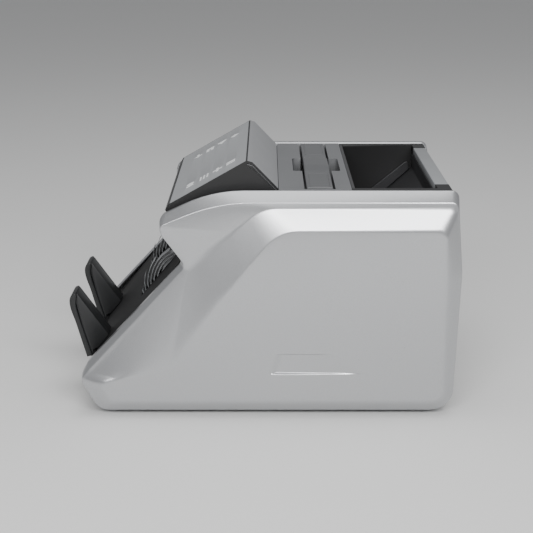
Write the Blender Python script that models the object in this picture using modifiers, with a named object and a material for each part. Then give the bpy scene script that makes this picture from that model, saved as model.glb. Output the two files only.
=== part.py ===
"""Banknote counting machine: a desk-top counter that takes notes in a hopper at the rear and stacks
them at the front. Metres, +Z up. X is the width, the operator faces the front (-Y), and the origin
is the middle of the space the machine takes on the table."""

import math

import bmesh
import bpy
from mathutils import Matrix, Vector

# Overall sizes
BODY_WIDTH = 0.250  # over the crowns of both side covers
BODY_LENGTH = 0.3015  # side cover, front tip to rear edge
COVER_HEIGHT = 0.1835  # table to the top edge of a side cover
COVER_DEPTH = 0.024  # side cover, inner edge to crown
COVER_WALL = 0.0025
GAP = 0.0003  # between pieces that touch
PLAY = 0.0006  # between pieces that slide

# Underside
COVER_BOTTOM = 0.004  # table to the side covers
FOOT_RADIUS = 0.009
FOOT_INSET = 0.016  # foot axis in from the inner width
BASE_BOTTOM = 0.006
PLATE = 0.002  # chassis sheet thickness

# Hopper at the rear
HOPPER_LENGTH = 0.0644  # opening, front to rear
HOPPER_WALL = 0.0025
HOPPER_SIDE = 0.0075  # opening's side in from the inner width
HOPPER_SLOPE = math.radians(42)
RIM_DEPTH = 0.011  # rear rim, front to rear
RIM_INSET = 0.0086  # rear rim in from the covers' rear edge
RIM_END = 0.0217  # end pieces of the rim, across
RIM_HEIGHT = 0.0065
REAR_WALL_HEIGHT = 0.020
GUIDE_TRAVEL = 0.020

# Top plate and carry handle
TOP_LENGTH = 0.060  # panel foot to hopper
TOP_DROP = 0.0012  # top plate below the covers' edge
SKIN = 0.003
STRAP_WIDTH = 0.0205
STRAP_FROM_HOPPER = 0.0275  # strap axis to the hopper opening
STRAP_THICKNESS = 0.0076
STRAP_GAP = 0.002
STRAP_END = 0.005  # strap end in from the inner width
LIFT = 0.022  # travel of the handle
POCKET_HALF = 0.027
POCKET_LENGTH = 0.0395
WELL_DEPTH = 0.0235
LEG_X = 0.080
LEG = 0.003

# Control panel wedge
PANEL_SIDE = 0.0045  # wedge side in from the inner width
PANEL_FACE = 0.0713
PANEL_ANGLE = math.radians(29.6)
PANEL_BACK = 0.0245  # ridge to foot, front to rear
PANEL_RISE = 0.0222  # ridge above the covers' edge
SHELL = 0.0025
OVERLAY = 0.0009
OVERLAY_MARGIN = 0.002
RIDGE_FLAT = 0.0042  # narrow flat strip behind the ridge
RIDGE_DROP = 0.0012
DISPLAY_HALF = 0.024
DISPLAY_LENGTH = 0.026

# Stacker at the front
SLOPE_TOP = 0.1265
TRAY_LOW = 0.0355
TRAY_ANGLE = math.radians(50.2)
TRAY_SHEET = 0.0022
WHEEL_RADIUS = 0.036
WHEEL_WIDTH = 0.010
WHEEL_X = 0.045
FIN_COUNT = 16
FIN_SWEEP = math.radians(-95)
FIN_THICKNESS = 0.0014
HUB_RADIUS = 0.016
FINGER_X = 0.0475
FINGER_WIDTH = 0.025
FINGER_BODY = 0.018

# Transport and drive
SHAFT_RADIUS = 0.004
BEARING_RADIUS = 0.008
FEED_RADIUS = 0.018
DRIVE_RADIUS = 0.014
PINCH_RADIUS = 0.008
ROLLER_WIDTH = 0.024
ROLLER_X = 0.022
POKE = 0.0015  # rollers stand this far through their guides
PATH_Z = 0.098
PATH_HEIGHT = 0.003
PULLEY_WIDTH = 0.0042
BELT = 0.0012
STACKER_PULLEY = 0.013
DRIVE_PULLEY = 0.010
FEED_PULLEY = 0.012
MOTOR_PULLEY = 0.007
MOTOR_RADIUS = 0.020

# Rear cover and mains parts
REAR_COVER = 0.004
DOOR_HALF = 0.078
DOOR_LOW = 0.062
DOOR_HEIGHT = 0.085
PIN_RADIUS = 0.0012
INLET = (0.027, 0.020)
PIN_SUNK = 0.0055  # inlet pins end this far inside the rear face
SWITCH = (0.019, 0.013)
KNOB_RADIUS = 0.009
ROCKER_TILT = math.radians(7)  # rests switched off; on is as far the other way

# Places worked out from the sizes above
INNER_X = BODY_WIDTH / 2 - COVER_DEPTH
FRONT_Y = -BODY_LENGTH / 2
REAR_Y = BODY_LENGTH / 2
HOPPER_REAR = REAR_Y - RIM_INSET - RIM_DEPTH
HOPPER_FRONT = HOPPER_REAR - HOPPER_LENGTH
HOPPER_X = INNER_X - HOPPER_SIDE
PANEL_FOOT = HOPPER_FRONT - TOP_LENGTH
RIDGE_Y = PANEL_FOOT - PANEL_BACK
RIDGE_Z = COVER_HEIGHT + PANEL_RISE - 0.001
FACE_Y = RIDGE_Y - PANEL_FACE * math.cos(PANEL_ANGLE)
FACE_Z = RIDGE_Z - PANEL_FACE * math.sin(PANEL_ANGLE)
PANEL_X = INNER_X - PANEL_SIDE
TOP_Z = COVER_HEIGHT - TOP_DROP
STRAP_Y = HOPPER_FRONT - STRAP_FROM_HOPPER
FLOOR_TOP = TOP_Z - REAR_WALL_HEIGHT
FRAME_X = INNER_X - 0.003
TRAY_Y = FRONT_Y + 0.0055
WHEEL_Y = FRONT_Y + 0.0805
WHEEL_Z = 0.086
DRIVE_Y = (WHEEL_Y + HOPPER_FRONT) / 2 + 0.010
DRIVE_Z = PATH_Z + POKE - DRIVE_RADIUS
PINCH_Z = DRIVE_Z + DRIVE_RADIUS + PINCH_RADIUS + GAP
MOTOR_Y = HOPPER_FRONT - 0.022
MOTOR_Z = 0.034
FINGER_TIP = 0.0855
FINGER_REACH = 0.0150  # finger tip in front of the covers
CENTRE_SHIFT = (FINGER_REACH - FRONT_Y - REAR_Y) / 2


def floor_z(y):
    """Height of the hopper floor's upper face."""
    return FLOOR_TOP + (y - HOPPER_REAR) * math.tan(HOPPER_SLOPE)


def tray_z(y):
    """Height of the stacker tray's upper face."""
    return TRAY_LOW + (y - TRAY_Y) * math.tan(TRAY_ANGLE)


FEED_POINT = HOPPER_FRONT + 0.013  # where the feed rollers stand through the floor
FEED_Y = FEED_POINT + (FEED_RADIUS - POKE) * math.sin(HOPPER_SLOPE)
FEED_Z = floor_z(FEED_POINT) - (FEED_RADIUS - POKE) * math.cos(HOPPER_SLOPE)


# Scene, materials and small modelling helpers

for leftover in list(bpy.data.objects):
    bpy.data.objects.remove(leftover)

PARTS = bpy.data.collections.new("banknote_counter")
CUTTERS = bpy.data.collections.new("cutters")
for group in (PARTS, CUTTERS):
    bpy.context.scene.collection.children.link(group)
CUTTERS.hide_render = True

MACHINE = bpy.data.objects.new("machine", None)
MACHINE.location = (0, CENTRE_SHIFT, 0)
PARTS.objects.link(MACHINE)


def material(name, colour, roughness, metallic=0.0):
    made = bpy.data.materials.new(name)
    made.use_nodes = True
    shader = made.node_tree.nodes["Principled BSDF"]
    shader.inputs["Base Color"].default_value = (*colour, 1)
    shader.inputs["Roughness"].default_value = roughness
    shader.inputs["Metallic"].default_value = metallic
    return made


SILVER = material("silver_paint", (0.42, 0.43, 0.44), 0.38, 0.3)
DARK_PLASTIC = material("dark_grey_abs", (0.16, 0.17, 0.18), 0.5)
BLACK_PLASTIC = material("black_abs", (0.02, 0.02, 0.022), 0.45)
GREY_PLASTIC = material("grey_abs", (0.3, 0.31, 0.32), 0.5)
OVERLAY_FILM = material("overlay_film", (0.12, 0.13, 0.14), 0.35)
STEEL = material("zinc_steel", (0.55, 0.56, 0.58), 0.35, 1.0)
RUBBER = material("black_rubber", (0.02, 0.02, 0.02), 0.8)
ROLLER_RUBBER = material("roller_rubber", (0.25, 0.08, 0.05), 0.7)
BOARD = material("circuit_board", (0.02, 0.12, 0.05), 0.5)
WHITE_PLASTIC = material("white_pom", (0.6, 0.6, 0.58), 0.4)


def smooth(piece):
    piece.data.shade_smooth()
    piece.data.set_sharp_from_angle(angle=math.radians(35))


def place(name, mesh, finish, location, parent=MACHINE):
    piece = bpy.data.objects.new(name, mesh)
    piece.location = location
    piece.parent = parent
    if not mesh.materials:
        mesh.materials.append(finish)
    PARTS.objects.link(piece)
    return piece


def mesh_of(shape, name):
    """Mesh from a bmesh with its faces turned outwards."""
    bmesh.ops.recalc_face_normals(shape, faces=shape.faces)
    mesh = bpy.data.meshes.new(name)
    shape.to_mesh(mesh)
    shape.free()
    return mesh


def box(name, low, high, finish, bevel=0.0, parent=MACHINE):
    """Block between two corners, its origin in its middle."""
    low, high = Vector(low), Vector(high)
    shape = bmesh.new()
    bmesh.ops.create_cube(shape, size=1, matrix=Matrix.Diagonal((*(high - low), 1)))
    piece = place(name, mesh_of(shape, name), finish, (low + high) / 2, parent)
    if bevel:
        edge = piece.modifiers.new("edge", "BEVEL")
        edge.width = bevel
        edge.segments = 2
    return piece


TURN = {"X": (0, math.pi / 2, 0), "Y": (-math.pi / 2, 0, 0), "Z": (0, 0, 0)}


def rod(name, centre, radius, length, finish, axis="X", segments=24):
    shape = bmesh.new()
    bmesh.ops.create_cone(
        shape, cap_ends=True, segments=segments, radius1=radius, radius2=radius, depth=length
    )
    piece = place(name, mesh_of(shape, name), finish, centre)
    piece.rotation_euler = TURN[axis]
    smooth(piece)
    return piece


def turned(name, profile, centre, finish, axis="X", steps=24, ring=False):
    """Profile of (radius, height) points, outer side top to bottom, turned about an axis."""
    mesh = bpy.data.meshes.new(name)
    edges = [(i, i + 1) for i in range(len(profile) - 1)]
    if ring:
        edges.append((len(profile) - 1, 0))
    mesh.from_pydata([(r, 0, z) for r, z in profile], edges, [])
    piece = place(name, mesh, finish, centre)
    piece.rotation_euler = TURN[axis]
    screw = piece.modifiers.new("turn", "SCREW")
    screw.steps = steps
    screw.render_steps = steps
    screw.use_merge_vertices = True
    screw.merge_threshold = 1e-6
    screw.use_smooth_shade = False
    return piece


def ring(name, centre, inner, outer, width, finish, axis="X", steps=24):
    half = width / 2
    profile = [(outer, half), (outer, -half), (inner, -half), (inner, half)]
    return turned(name, profile, centre, finish, axis, steps, ring=True)


def rounded(corners, steps=3):
    """Closed outline through (u, v, radius) corners, each turned by an arc."""
    points = []
    for index, (u, v, radius) in enumerate(corners):
        here = Vector((u, v))
        before = (Vector(corners[index - 1][:2]) - here).normalized()
        after = (Vector(corners[(index + 1) % len(corners)][:2]) - here).normalized()
        half = before.angle(after) / 2
        centre = here + (before + after).normalized() * radius / math.sin(half)
        start = here + before * radius / math.tan(half) - centre
        end = here + after * radius / math.tan(half) - centre
        first = math.atan2(start.y, start.x)
        swing = math.atan2(end.y, end.x) - first
        swing = (swing + math.pi) % (2 * math.pi) - math.pi
        for step in range(steps + 1):
            angle = first + swing * step / steps
            points.append((centre.x + radius * math.cos(angle), centre.y + radius * math.sin(angle)))
    return points


def sheet(name, outlines, low, high, finish, across="X", parent=MACHINE):
    """Flat outline in the plane across an axis, as thick as low to high along that axis."""
    curve = bpy.data.curves.new(name, "CURVE")
    curve.dimensions = "2D"
    curve.fill_mode = "BOTH"
    curve.extrude = (high - low) / 2
    for outline in outlines:
        spline = curve.splines.new("POLY")
        spline.points.add(len(outline) - 1)
        spline.use_cyclic_u = True
        for point, (u, v) in zip(spline.points, outline):
            point.co = (u, v, 0, 1)
    drawn = bpy.data.objects.new(name + "_outline", curve)
    PARTS.objects.link(drawn)
    evaluated = drawn.evaluated_get(bpy.context.evaluated_depsgraph_get())
    mesh = bpy.data.meshes.new_from_object(evaluated)
    bpy.data.objects.remove(drawn)
    shape = bmesh.new()
    shape.from_mesh(mesh)
    bmesh.ops.remove_doubles(shape, verts=shape.verts, dist=1e-6)
    bpy.data.meshes.remove(mesh)
    middle = (low + high) / 2
    piece = place(name, mesh_of(shape, name), finish, (0, 0, 0), parent)
    if across == "X":
        piece.rotation_euler = (math.pi / 2, 0, math.pi / 2)
        piece.location = (middle, 0, 0)
    elif across == "Y":
        piece.rotation_euler = (math.pi / 2, 0, 0)
        piece.location = (0, middle, 0)
    else:
        piece.location = (0, 0, middle)
    return piece


def combine(piece, operation, others):
    for other in others:
        PARTS.objects.unlink(other)
        CUTTERS.objects.link(other)
        other.hide_render = True
        other.display_type = "WIRE"
        boolean = piece.modifiers.new(other.name, "BOOLEAN")
        boolean.operation = operation
        boolean.solver = "EXACT"
        boolean.object = other


def cut(piece, *others):
    combine(piece, "DIFFERENCE", others)


def join(piece, *others):
    combine(piece, "UNION", others)


def strip(line, thickness):
    """Outline of a bent sheet: a line of points and the same line moved along its normals."""
    line = [Vector(point) for point in line]
    inner = []
    for index, point in enumerate(line):
        before = (point - line[max(index - 1, 0)]).normalized()
        after = (line[min(index + 1, len(line) - 1)] - point).normalized()
        along = (before + after).normalized()
        normal = Vector((along.y, -along.x))
        lean = max(normal.dot(Vector((after.y, -after.x)) if after.length else normal), 0.5)
        inner.append(point + normal * thickness / lean)
    return [tuple(point) for point in line + inner[::-1]]


# Side covers

REAR = REAR_Y
TOP = COVER_HEIGHT
BEAK = FACE_Y - 0.0088  # front tip of the covers' beak


def cover_rings():
    """(x from the middle, corners) of a side cover, inner edge first. The corners run from the rear
    bottom corner over the top to the front bottom one, and match from ring to ring."""
    foot = COVER_BOTTOM
    inner = BODY_WIDTH / 2 - COVER_DEPTH
    flank = PANEL_FOOT - 0.007
    edge = [
        (REAR, foot, 0.016),
        (REAR, TOP - 0.065, 0.080),
        (REAR - 0.0045, TOP, 0.006),
        (BEAK + 0.054, TOP, 0.050),
        (BEAK, TOP - 0.021, 0.004),
        (BEAK + 0.0025, TOP - 0.036, 0.010),
        (FRONT_Y + 0.0825, SLOPE_TOP, 0.006),
        (FRONT_Y + 0.0045, SLOPE_TOP - 0.084, 0.004),
        (FRONT_Y, SLOPE_TOP - 0.095, 0.004),
        (FRONT_Y + 0.0135, foot, 0.010),
    ]
    lip = [(u, v - 0.0012 if v > TOP - 0.01 else v, r) for u, v, r in edge]
    crease = [
        (REAR - 0.0015, foot + 0.002, 0.014),
        (REAR - 0.0015, TOP - 0.065, 0.080),
        (REAR - 0.0060, TOP - 0.0083, 0.006),
        (BEAK + 0.058, TOP - 0.0083, 0.050),
        (BEAK + 0.006, TOP - 0.025, 0.004),
        (BEAK + 0.008, TOP - 0.037, 0.008),
        (FRONT_Y + 0.0865, SLOPE_TOP - 0.003, 0.006),
        (FRONT_Y + 0.0085, SLOPE_TOP - 0.088, 0.004),
        (FRONT_Y + 0.0012, SLOPE_TOP - 0.096, 0.004),
        (FRONT_Y + 0.0155, foot + 0.003, 0.010),
    ]
    ribbon_top = [
        (REAR - 0.0020, foot + 0.004, 0.014),
        (REAR - 0.0020, TOP - 0.065, 0.080),
        (REAR - 0.0070, TOP - 0.0131, 0.006),
        (flank - 0.001, TOP - 0.0131, 0.022),
        (flank - 0.034, TOP - 0.0345, 0.008),
        (flank - 0.050, TOP - 0.050, 0.008),
        (FRONT_Y + 0.0900, SLOPE_TOP - 0.010, 0.006),
        (FRONT_Y + 0.0105, SLOPE_TOP - 0.091, 0.004),
        (FRONT_Y + 0.0024, SLOPE_TOP - 0.097, 0.004),
        (FRONT_Y + 0.0175, foot + 0.005, 0.010),
    ]
    ribbon_foot = [
        (REAR - 0.0120, foot + 0.010, 0.010),
        (REAR - 0.0120, TOP - 0.065, 0.080),
        (REAR - 0.0145, TOP - 0.0289, 0.008),
        (flank + 0.006, TOP - 0.0289, 0.020),
        (flank - 0.020, SLOPE_TOP - 0.004, 0.008),
        (flank - 0.041, SLOPE_TOP - 0.030, 0.008),
        (flank - 0.078, SLOPE_TOP - 0.081, 0.012),
        (FRONT_Y + 0.030, SLOPE_TOP - 0.092, 0.004),
        (FRONT_Y + 0.0140, SLOPE_TOP - 0.095, 0.004),
        (FRONT_Y + 0.0230, foot + 0.010, 0.010),
    ]
    return [
        (inner, lip),
        (inner + 0.007, edge),
        (inner + 0.014, crease),
        (inner + 0.0147, ribbon_top),
        (inner + 0.0213, ribbon_foot),
    ]


def side_cover(name, side):
    """Moulded shell of one side: flange, sunk top band, chamfer ribbon and raised crowned panel."""
    shape = bmesh.new()
    loops = []
    for x, corners in cover_rings():
        loops.append([shape.verts.new((side * x, y, z)) for y, z in rounded(corners)])
    middle = sum((v.co for v in loops[-1]), Vector()) / len(loops[-1])
    crown = [middle.lerp(v.co, 0.55) for v in loops[-1]]
    loops.append([shape.verts.new((side * BODY_WIDTH / 2, p.y, p.z)) for p in crown])
    count = len(loops[0])
    for lower, upper in zip(loops, loops[1:]):
        for i in range(count):
            j = (i + 1) % count
            shape.faces.new((lower[i], lower[j], upper[j], upper[i]))
    shape.faces.new(loops[-1])
    bmesh.ops.recalc_face_normals(shape, faces=shape.faces)
    shape.faces.ensure_lookup_table()
    if shape.faces[-1].normal.x * side < 0:
        bmesh.ops.reverse_faces(shape, faces=shape.faces)
    mesh = bpy.data.meshes.new(name)
    shape.to_mesh(mesh)
    shape.free()
    piece = place(name, mesh, SILVER, (0, 0, 0))
    wall = piece.modifiers.new("wall", "SOLIDIFY")
    wall.thickness = COVER_WALL
    wall.offset = -1
    smooth(piece)
    return piece


# Chassis

def chassis():
    box(
        "base_plate",
        (-FRAME_X + GAP, FRONT_Y + 0.026, BASE_BOTTOM),
        (FRAME_X - GAP, REAR_Y - 0.013, BASE_BOTTOM + PLATE),
        STEEL,
    )
    for side, label in ((1, "right"), (-1, "left")):
        for end, y in (("front", FRONT_Y + 0.036), ("rear", REAR_Y - 0.026)):
            profile = [
                (0, BASE_BOTTOM - GAP),
                (FOOT_RADIUS, BASE_BOTTOM - GAP),
                (FOOT_RADIUS - 0.0012, 0),
                (0, 0),
            ]
            foot_x = side * (INNER_X - FOOT_INSET)
            turned(f"{end}_{label}_foot", profile, (foot_x, y, 0), RUBBER, "Z", 20)
    frame_top = COVER_HEIGHT - 0.034
    start = FRONT_Y + 0.028
    drop = 0.006
    outline = rounded([
        (REAR_Y - 0.013, BASE_BOTTOM, 0.003),
        (REAR_Y - 0.013, frame_top - 0.022, 0.003),
        (HOPPER_FRONT + 0.034, frame_top - 0.022, 0.003),
        (HOPPER_FRONT + 0.012, frame_top, 0.003),
        (WHEEL_Y + 0.030, frame_top, 0.003),
        (WHEEL_Y + 0.012, tray_z(WHEEL_Y + 0.006) - drop, 0.003),
        (start, tray_z(start) - drop, 0.003),
        (start, BASE_BOTTOM, 0.003),
    ], 2)
    for side, label in ((1, "right"), (-1, "left")):
        near, far = sorted((side * FRAME_X, side * (FRAME_X + PLATE)))
        frame = sheet(f"{label}_side_frame", [outline], near, far, STEEL)
        for shaft, y, z in SHAFTS:
            hole = (side * FRAME_X, y, z)
            plain = shaft == "stacker"
            radius = SHAFT_RADIUS if plain else BEARING_RADIUS
            cut(frame, rod(f"{label}_{shaft}_seat", hole, radius + GAP, 0.02, STEEL))
            if plain:
                continue
            ring(
                f"{label}_{shaft}_bearing",
                (side * (FRAME_X + PLATE / 2), y, z),
                SHAFT_RADIUS + GAP,
                BEARING_RADIUS,
                PLATE + 0.002,
                WHITE_PLASTIC,
                steps=20,
            )
        if side < 0:
            motor_hole = (side * FRAME_X, MOTOR_Y, MOTOR_Z)
            cut(frame, rod("motor_hole", motor_hole, SHAFT_RADIUS + 0.002, 0.02, STEEL))


# Hopper

def hopper():
    x = HOPPER_X - GAP
    box(
        "hopper_front_wall",
        (-x, HOPPER_FRONT - HOPPER_WALL, floor_z(HOPPER_FRONT) + 0.008),
        (x, HOPPER_FRONT, TOP_Z),
        BLACK_PLASTIC,
    )
    pad_x = ROLLER_X + ROLLER_WIDTH / 2
    box(
        "friction_pad",
        (-pad_x, HOPPER_FRONT - HOPPER_WALL - 0.004, floor_z(HOPPER_FRONT) + 0.0026),
        (pad_x, HOPPER_FRONT - HOPPER_WALL - GAP, floor_z(HOPPER_FRONT) + 0.022),
        RUBBER,
    )
    low = HOPPER_FRONT - 0.0055
    line = [(low, floor_z(low)), (HOPPER_REAR, FLOOR_TOP), (HOPPER_REAR, TOP_Z - 0.007)]
    floor = sheet("hopper_floor", [strip(line, 0.0022)], -x, x, BLACK_PLASTIC)
    for side, label in ((1, "right"), (-1, "left")):
        slot = rod(
            f"feed_slot_{label}",
            (side * ROLLER_X, FEED_Y, FEED_Z),
            FEED_RADIUS + 0.001,
            ROLLER_WIDTH + 0.002,
            BLACK_PLASTIC,
        )
        cut(floor, slot)
    rim_x = INNER_X - RIM_END
    box(
        "rear_rim",
        (-rim_x, HOPPER_REAR, TOP_Z - RIM_HEIGHT),
        (rim_x, HOPPER_REAR + RIM_DEPTH, TOP_Z - 0.0003),
        GREY_PLASTIC,
        0.0006,
    )
    for side, label in ((1, "right"), (-1, "left")):
        near, far = sorted((side * HOPPER_X, side * (HOPPER_X + HOPPER_WALL)))
        front = HOPPER_FRONT + GAP
        rear = HOPPER_REAR - GAP
        outline = [
            (front, TOP_Z - 0.0003),
            (rear, TOP_Z - 0.0003),
            (rear, floor_z(rear) - 0.008),
            (front, floor_z(front) - 0.008),
        ]
        wall = sheet(f"hopper_{label}_wall", [outline], near, far, DARK_PLASTIC)
        near, far = sorted((side * (HOPPER_X + 0.0002), side * (INNER_X - GAP)))
        flange = box(
            f"{label}_flange",
            (near, front + 0.0001, TOP_Z - HOPPER_WALL),
            (far, HOPPER_REAR + RIM_DEPTH, TOP_Z - 0.0002),
            DARK_PLASTIC,
        )
        near, far = sorted((side * (rim_x + GAP), side * (INNER_X - GAP - 0.0001)))
        end = box(
            f"{label}_rim_end",
            (near, HOPPER_REAR + 0.0001, TOP_Z - RIM_HEIGHT),
            (far, HOPPER_REAR + RIM_DEPTH - 0.0001, TOP_Z - 0.0001),
            DARK_PLASTIC,
        )
        join(wall, flange, end)
        start = HOPPER_FRONT + 0.006
        finish = HOPPER_REAR - 0.003
        guide = rounded([
            (start, floor_z(start) + PLAY, 0.001),
            (finish, floor_z(finish) + PLAY, 0.001),
            (finish, floor_z(finish) + 0.010, 0.002),
            (start + 0.012, floor_z(start) + 0.024, 0.004),
            (start, floor_z(start) + 0.018, 0.002),
        ], 2)
        near, far = sorted((side * (HOPPER_X - 0.0045), side * (HOPPER_X - 0.002)))
        sheet(f"hopper_{label}_guide", [guide], near, far, BLACK_PLASTIC)


# Top plate and handle

def top_cover():
    x = INNER_X - GAP
    front = PANEL_FOOT + GAP
    rear = HOPPER_FRONT - HOPPER_WALL - GAP
    plate = box("top_cover", (-x, front, TOP_Z - SKIN), (x, rear, TOP_Z), DARK_PLASTIC)
    groove_x = INNER_X - STRAP_END + STRAP_GAP
    half = STRAP_WIDTH / 2 + STRAP_GAP
    well_low = TOP_Z - WELL_DEPTH
    pocket = POCKET_LENGTH / 2
    skin = 0.0022
    channel = box(
        "channel",
        (-x + 0.0001, STRAP_Y - half - skin, well_low - skin),
        (x - 0.0001, STRAP_Y + half + skin, TOP_Z - 0.001),
        DARK_PLASTIC,
    )
    pocket_box = box(
        "pocket_box",
        (-POCKET_HALF - skin, STRAP_Y - pocket - skin, well_low - skin - 0.0001),
        (POCKET_HALF + skin, STRAP_Y + pocket + skin, TOP_Z - 0.0012),
        DARK_PLASTIC,
    )
    groove = box(
        "groove",
        (-groove_x, STRAP_Y - half, well_low),
        (groove_x, STRAP_Y + half, TOP_Z + 0.01),
        DARK_PLASTIC,
    )
    pockets = box(
        "pockets",
        (-POCKET_HALF, STRAP_Y - pocket, well_low + 0.0001),
        (POCKET_HALF, STRAP_Y + pocket, TOP_Z + 0.011),
        DARK_PLASTIC,
    )
    join(plate, channel, pocket_box)
    cut(plate, groove, pockets)
    for side, label in ((1, "right"), (-1, "left")):
        reach = LEG / 2 + PLAY
        cut(
            plate,
            box(
                f"leg_slot_{label}",
                (side * LEG_X - reach, STRAP_Y - STRAP_WIDTH / 2 - PLAY, well_low - 0.01),
                (side * LEG_X + reach, STRAP_Y + STRAP_WIDTH / 2 + PLAY, well_low + 0.01),
                DARK_PLASTIC,
            ),
        )
    handle(well_low - skin)


def handle(floor_underside):
    """Pull-up strap, arched over the finger pockets, on two hooked legs that guide it."""
    end = INNER_X - STRAP_END
    high = TOP_Z + 0.0008
    low = high - STRAP_THICKNESS
    hook_top = floor_underside - LIFT - PLAY
    right = [
        (POCKET_HALF - 0.009, low + 0.0035),
        (POCKET_HALF, low),
        (LEG_X - LEG / 2, low),
        (LEG_X - LEG / 2, hook_top - 0.0035),
        (LEG_X + 0.0045, hook_top - 0.0035),
        (LEG_X + 0.0045, hook_top),
        (LEG_X + LEG / 2, hook_top),
        (LEG_X + LEG / 2, low),
        (end, low),
        (end, high - 0.001),
        (end - 0.001, high),
        (POCKET_HALF + 0.004, high),
        (POCKET_HALF - 0.006, high + 0.0012),
    ]
    outline = right + [(-x, z) for x, z in right[::-1]]
    sheet(
        "carry_handle",
        [outline],
        STRAP_Y - STRAP_WIDTH / 2,
        STRAP_Y + STRAP_WIDTH / 2,
        DARK_PLASTIC,
        across="Y",
    )


# Control panel wedge

def control_panel():
    foot = TOP_Z - 0.020
    outer = [
        (FACE_Y - 0.0026, FACE_Z - 0.0045),
        (FACE_Y, FACE_Z),
        (RIDGE_Y, RIDGE_Z),
        (RIDGE_Y + RIDGE_FLAT, RIDGE_Z - RIDGE_DROP),
        (PANEL_FOOT, TOP_Z + GAP),
        (PANEL_FOOT, foot),
        (FACE_Y + 0.002, foot),
        (FACE_Y + 0.002, FACE_Z - 0.009),
    ]
    inner = [
        (FACE_Y + 0.0045, foot - 0.01),
        (FACE_Y + 0.0045, FACE_Z - 0.001),
        (RIDGE_Y - 0.0006, RIDGE_Z - 0.0032),
        (RIDGE_Y + RIDGE_FLAT - 0.0014, RIDGE_Z - RIDGE_DROP - 0.0028),
        (PANEL_FOOT - SHELL, TOP_Z - 0.0025),
        (PANEL_FOOT - SHELL, foot - 0.01),
    ]
    housing = sheet("panel_housing", [outer], -PANEL_X, PANEL_X, BLACK_PLASTIC)
    cut(housing, sheet("housing_hollow", [inner], -PANEL_X + SHELL, PANEL_X - SHELL, BLACK_PLASTIC))
    face = bpy.data.objects.new("panel_face", None)
    PARTS.objects.link(face)
    face.parent = MACHINE
    face.location = (0, (FACE_Y + RIDGE_Y) / 2, (FACE_Z + RIDGE_Z) / 2)
    face.rotation_euler = (PANEL_ANGLE, 0, 0)
    half = PANEL_FACE / 2 - OVERLAY_MARGIN
    x = PANEL_X - OVERLAY_MARGIN
    recess = box(
        "overlay_recess", (-x, -half, -OVERLAY - GAP), (x, half, 0.01), BLACK_PLASTIC, 0, face
    )
    window = box(
        "display_window",
        (-DISPLAY_HALF, -DISPLAY_LENGTH / 2, -0.02),
        (DISPLAY_HALF, DISPLAY_LENGTH / 2, 0.005),
        BLACK_PLASTIC,
        0,
        face,
    )
    cut(housing, recess, window)
    box(
        "panel_overlay",
        (-x + GAP, -half + GAP, -OVERLAY),
        (x - GAP, half - GAP, 0),
        OVERLAY_FILM,
        0,
        face,
    )
    box(
        "display_module",
        (-DISPLAY_HALF + PLAY, -DISPLAY_LENGTH / 2 + PLAY, -0.009),
        (DISPLAY_HALF - PLAY, DISPLAY_LENGTH / 2 - PLAY, -OVERLAY - GAP),
        GREY_PLASTIC,
        0,
        face,
    )
    box(
        "key_board",
        (-x + 0.006, -half + 0.004, -0.011),
        (x - 0.006, half - 0.008, -0.0094),
        BOARD,
        0,
        face,
    )


# Stacker

def wheel_outline():
    """Stacker wheel seen along its shaft: swept fins round a hub."""
    spans = 3
    reach = WHEEL_RADIUS - HUB_RADIUS
    points = []
    for fin in range(FIN_COUNT):
        base = 2 * math.pi * fin / FIN_COUNT
        for edge, order in ((-1, range(spans + 1)), (1, range(spans, -1, -1))):
            for step in order:
                share = step / spans
                radius = HUB_RADIUS + reach * share
                tilt = base + FIN_SWEEP * share
                thick = FIN_THICKNESS * (1.6 - 0.6 * share) / 2
                cross = math.hypot(1, radius * FIN_SWEEP / reach)
                angle = tilt + edge * thick * cross / radius
                points.append((radius * math.cos(angle), radius * math.sin(angle)))
    return points


def circle(radius, steps):
    turn = 2 * math.pi / steps
    return [(radius * math.cos(turn * i), radius * math.sin(turn * i)) for i in range(steps)]


def stacker():
    x = INNER_X - 0.0006
    high = WHEEL_Y + 0.0045
    tray = sheet(
        "stacker_plate",
        [strip([(TRAY_Y, TRAY_LOW), (high, tray_z(high))], TRAY_SHEET)],
        -x,
        x,
        BLACK_PLASTIC,
    )
    for side, label in ((1, "right"), (-1, "left")):
        slot = rod(
            f"wheel_slot_{label}",
            (side * WHEEL_X, WHEEL_Y, WHEEL_Z),
            WHEEL_RADIUS + 0.0015,
            WHEEL_WIDTH + 0.003,
            BLACK_PLASTIC,
            segments=32,
        )
        cut(tray, slot)
        bore = circle(SHAFT_RADIUS + GAP, 16)
        half = WHEEL_WIDTH / 2
        wheel = sheet(
            f"stacker_wheel_{label}", [wheel_outline(), bore], -half, half, GREY_PLASTIC
        )
        wheel.location = (side * WHEEL_X, WHEEL_Y, WHEEL_Z)
        finger(f"stop_finger_{label}", side)
    roof = [
        (FACE_Y + 0.0045, TOP_Z - 0.0215),
        (FACE_Y + 0.016, TOP_Z - 0.044),
        (WHEEL_Y + 0.025, WHEEL_Z + WHEEL_RADIUS + 0.004),
        (WHEEL_Y + 0.043, WHEEL_Z + WHEEL_RADIUS - 0.004),
        (WHEEL_Y + 0.044, PATH_Z + PATH_HEIGHT + 0.0035),
    ]
    wide = FRAME_X - GAP
    sheet("stacker_roof", [strip(roof, -0.002)], -wide, wide, BLACK_PLASTIC)
    front = [
        (FRONT_Y + 0.0029, TRAY_LOW - 0.001),
        (FRONT_Y + 0.0110, 0.0120),
        (FRONT_Y + 0.0195, 0.0054),
        (FRONT_Y + 0.0230, 0.0054),
    ]
    sheet("front_lower_cover", [strip(front, -0.0023)], -x, x, BLACK_PLASTIC)


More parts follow.
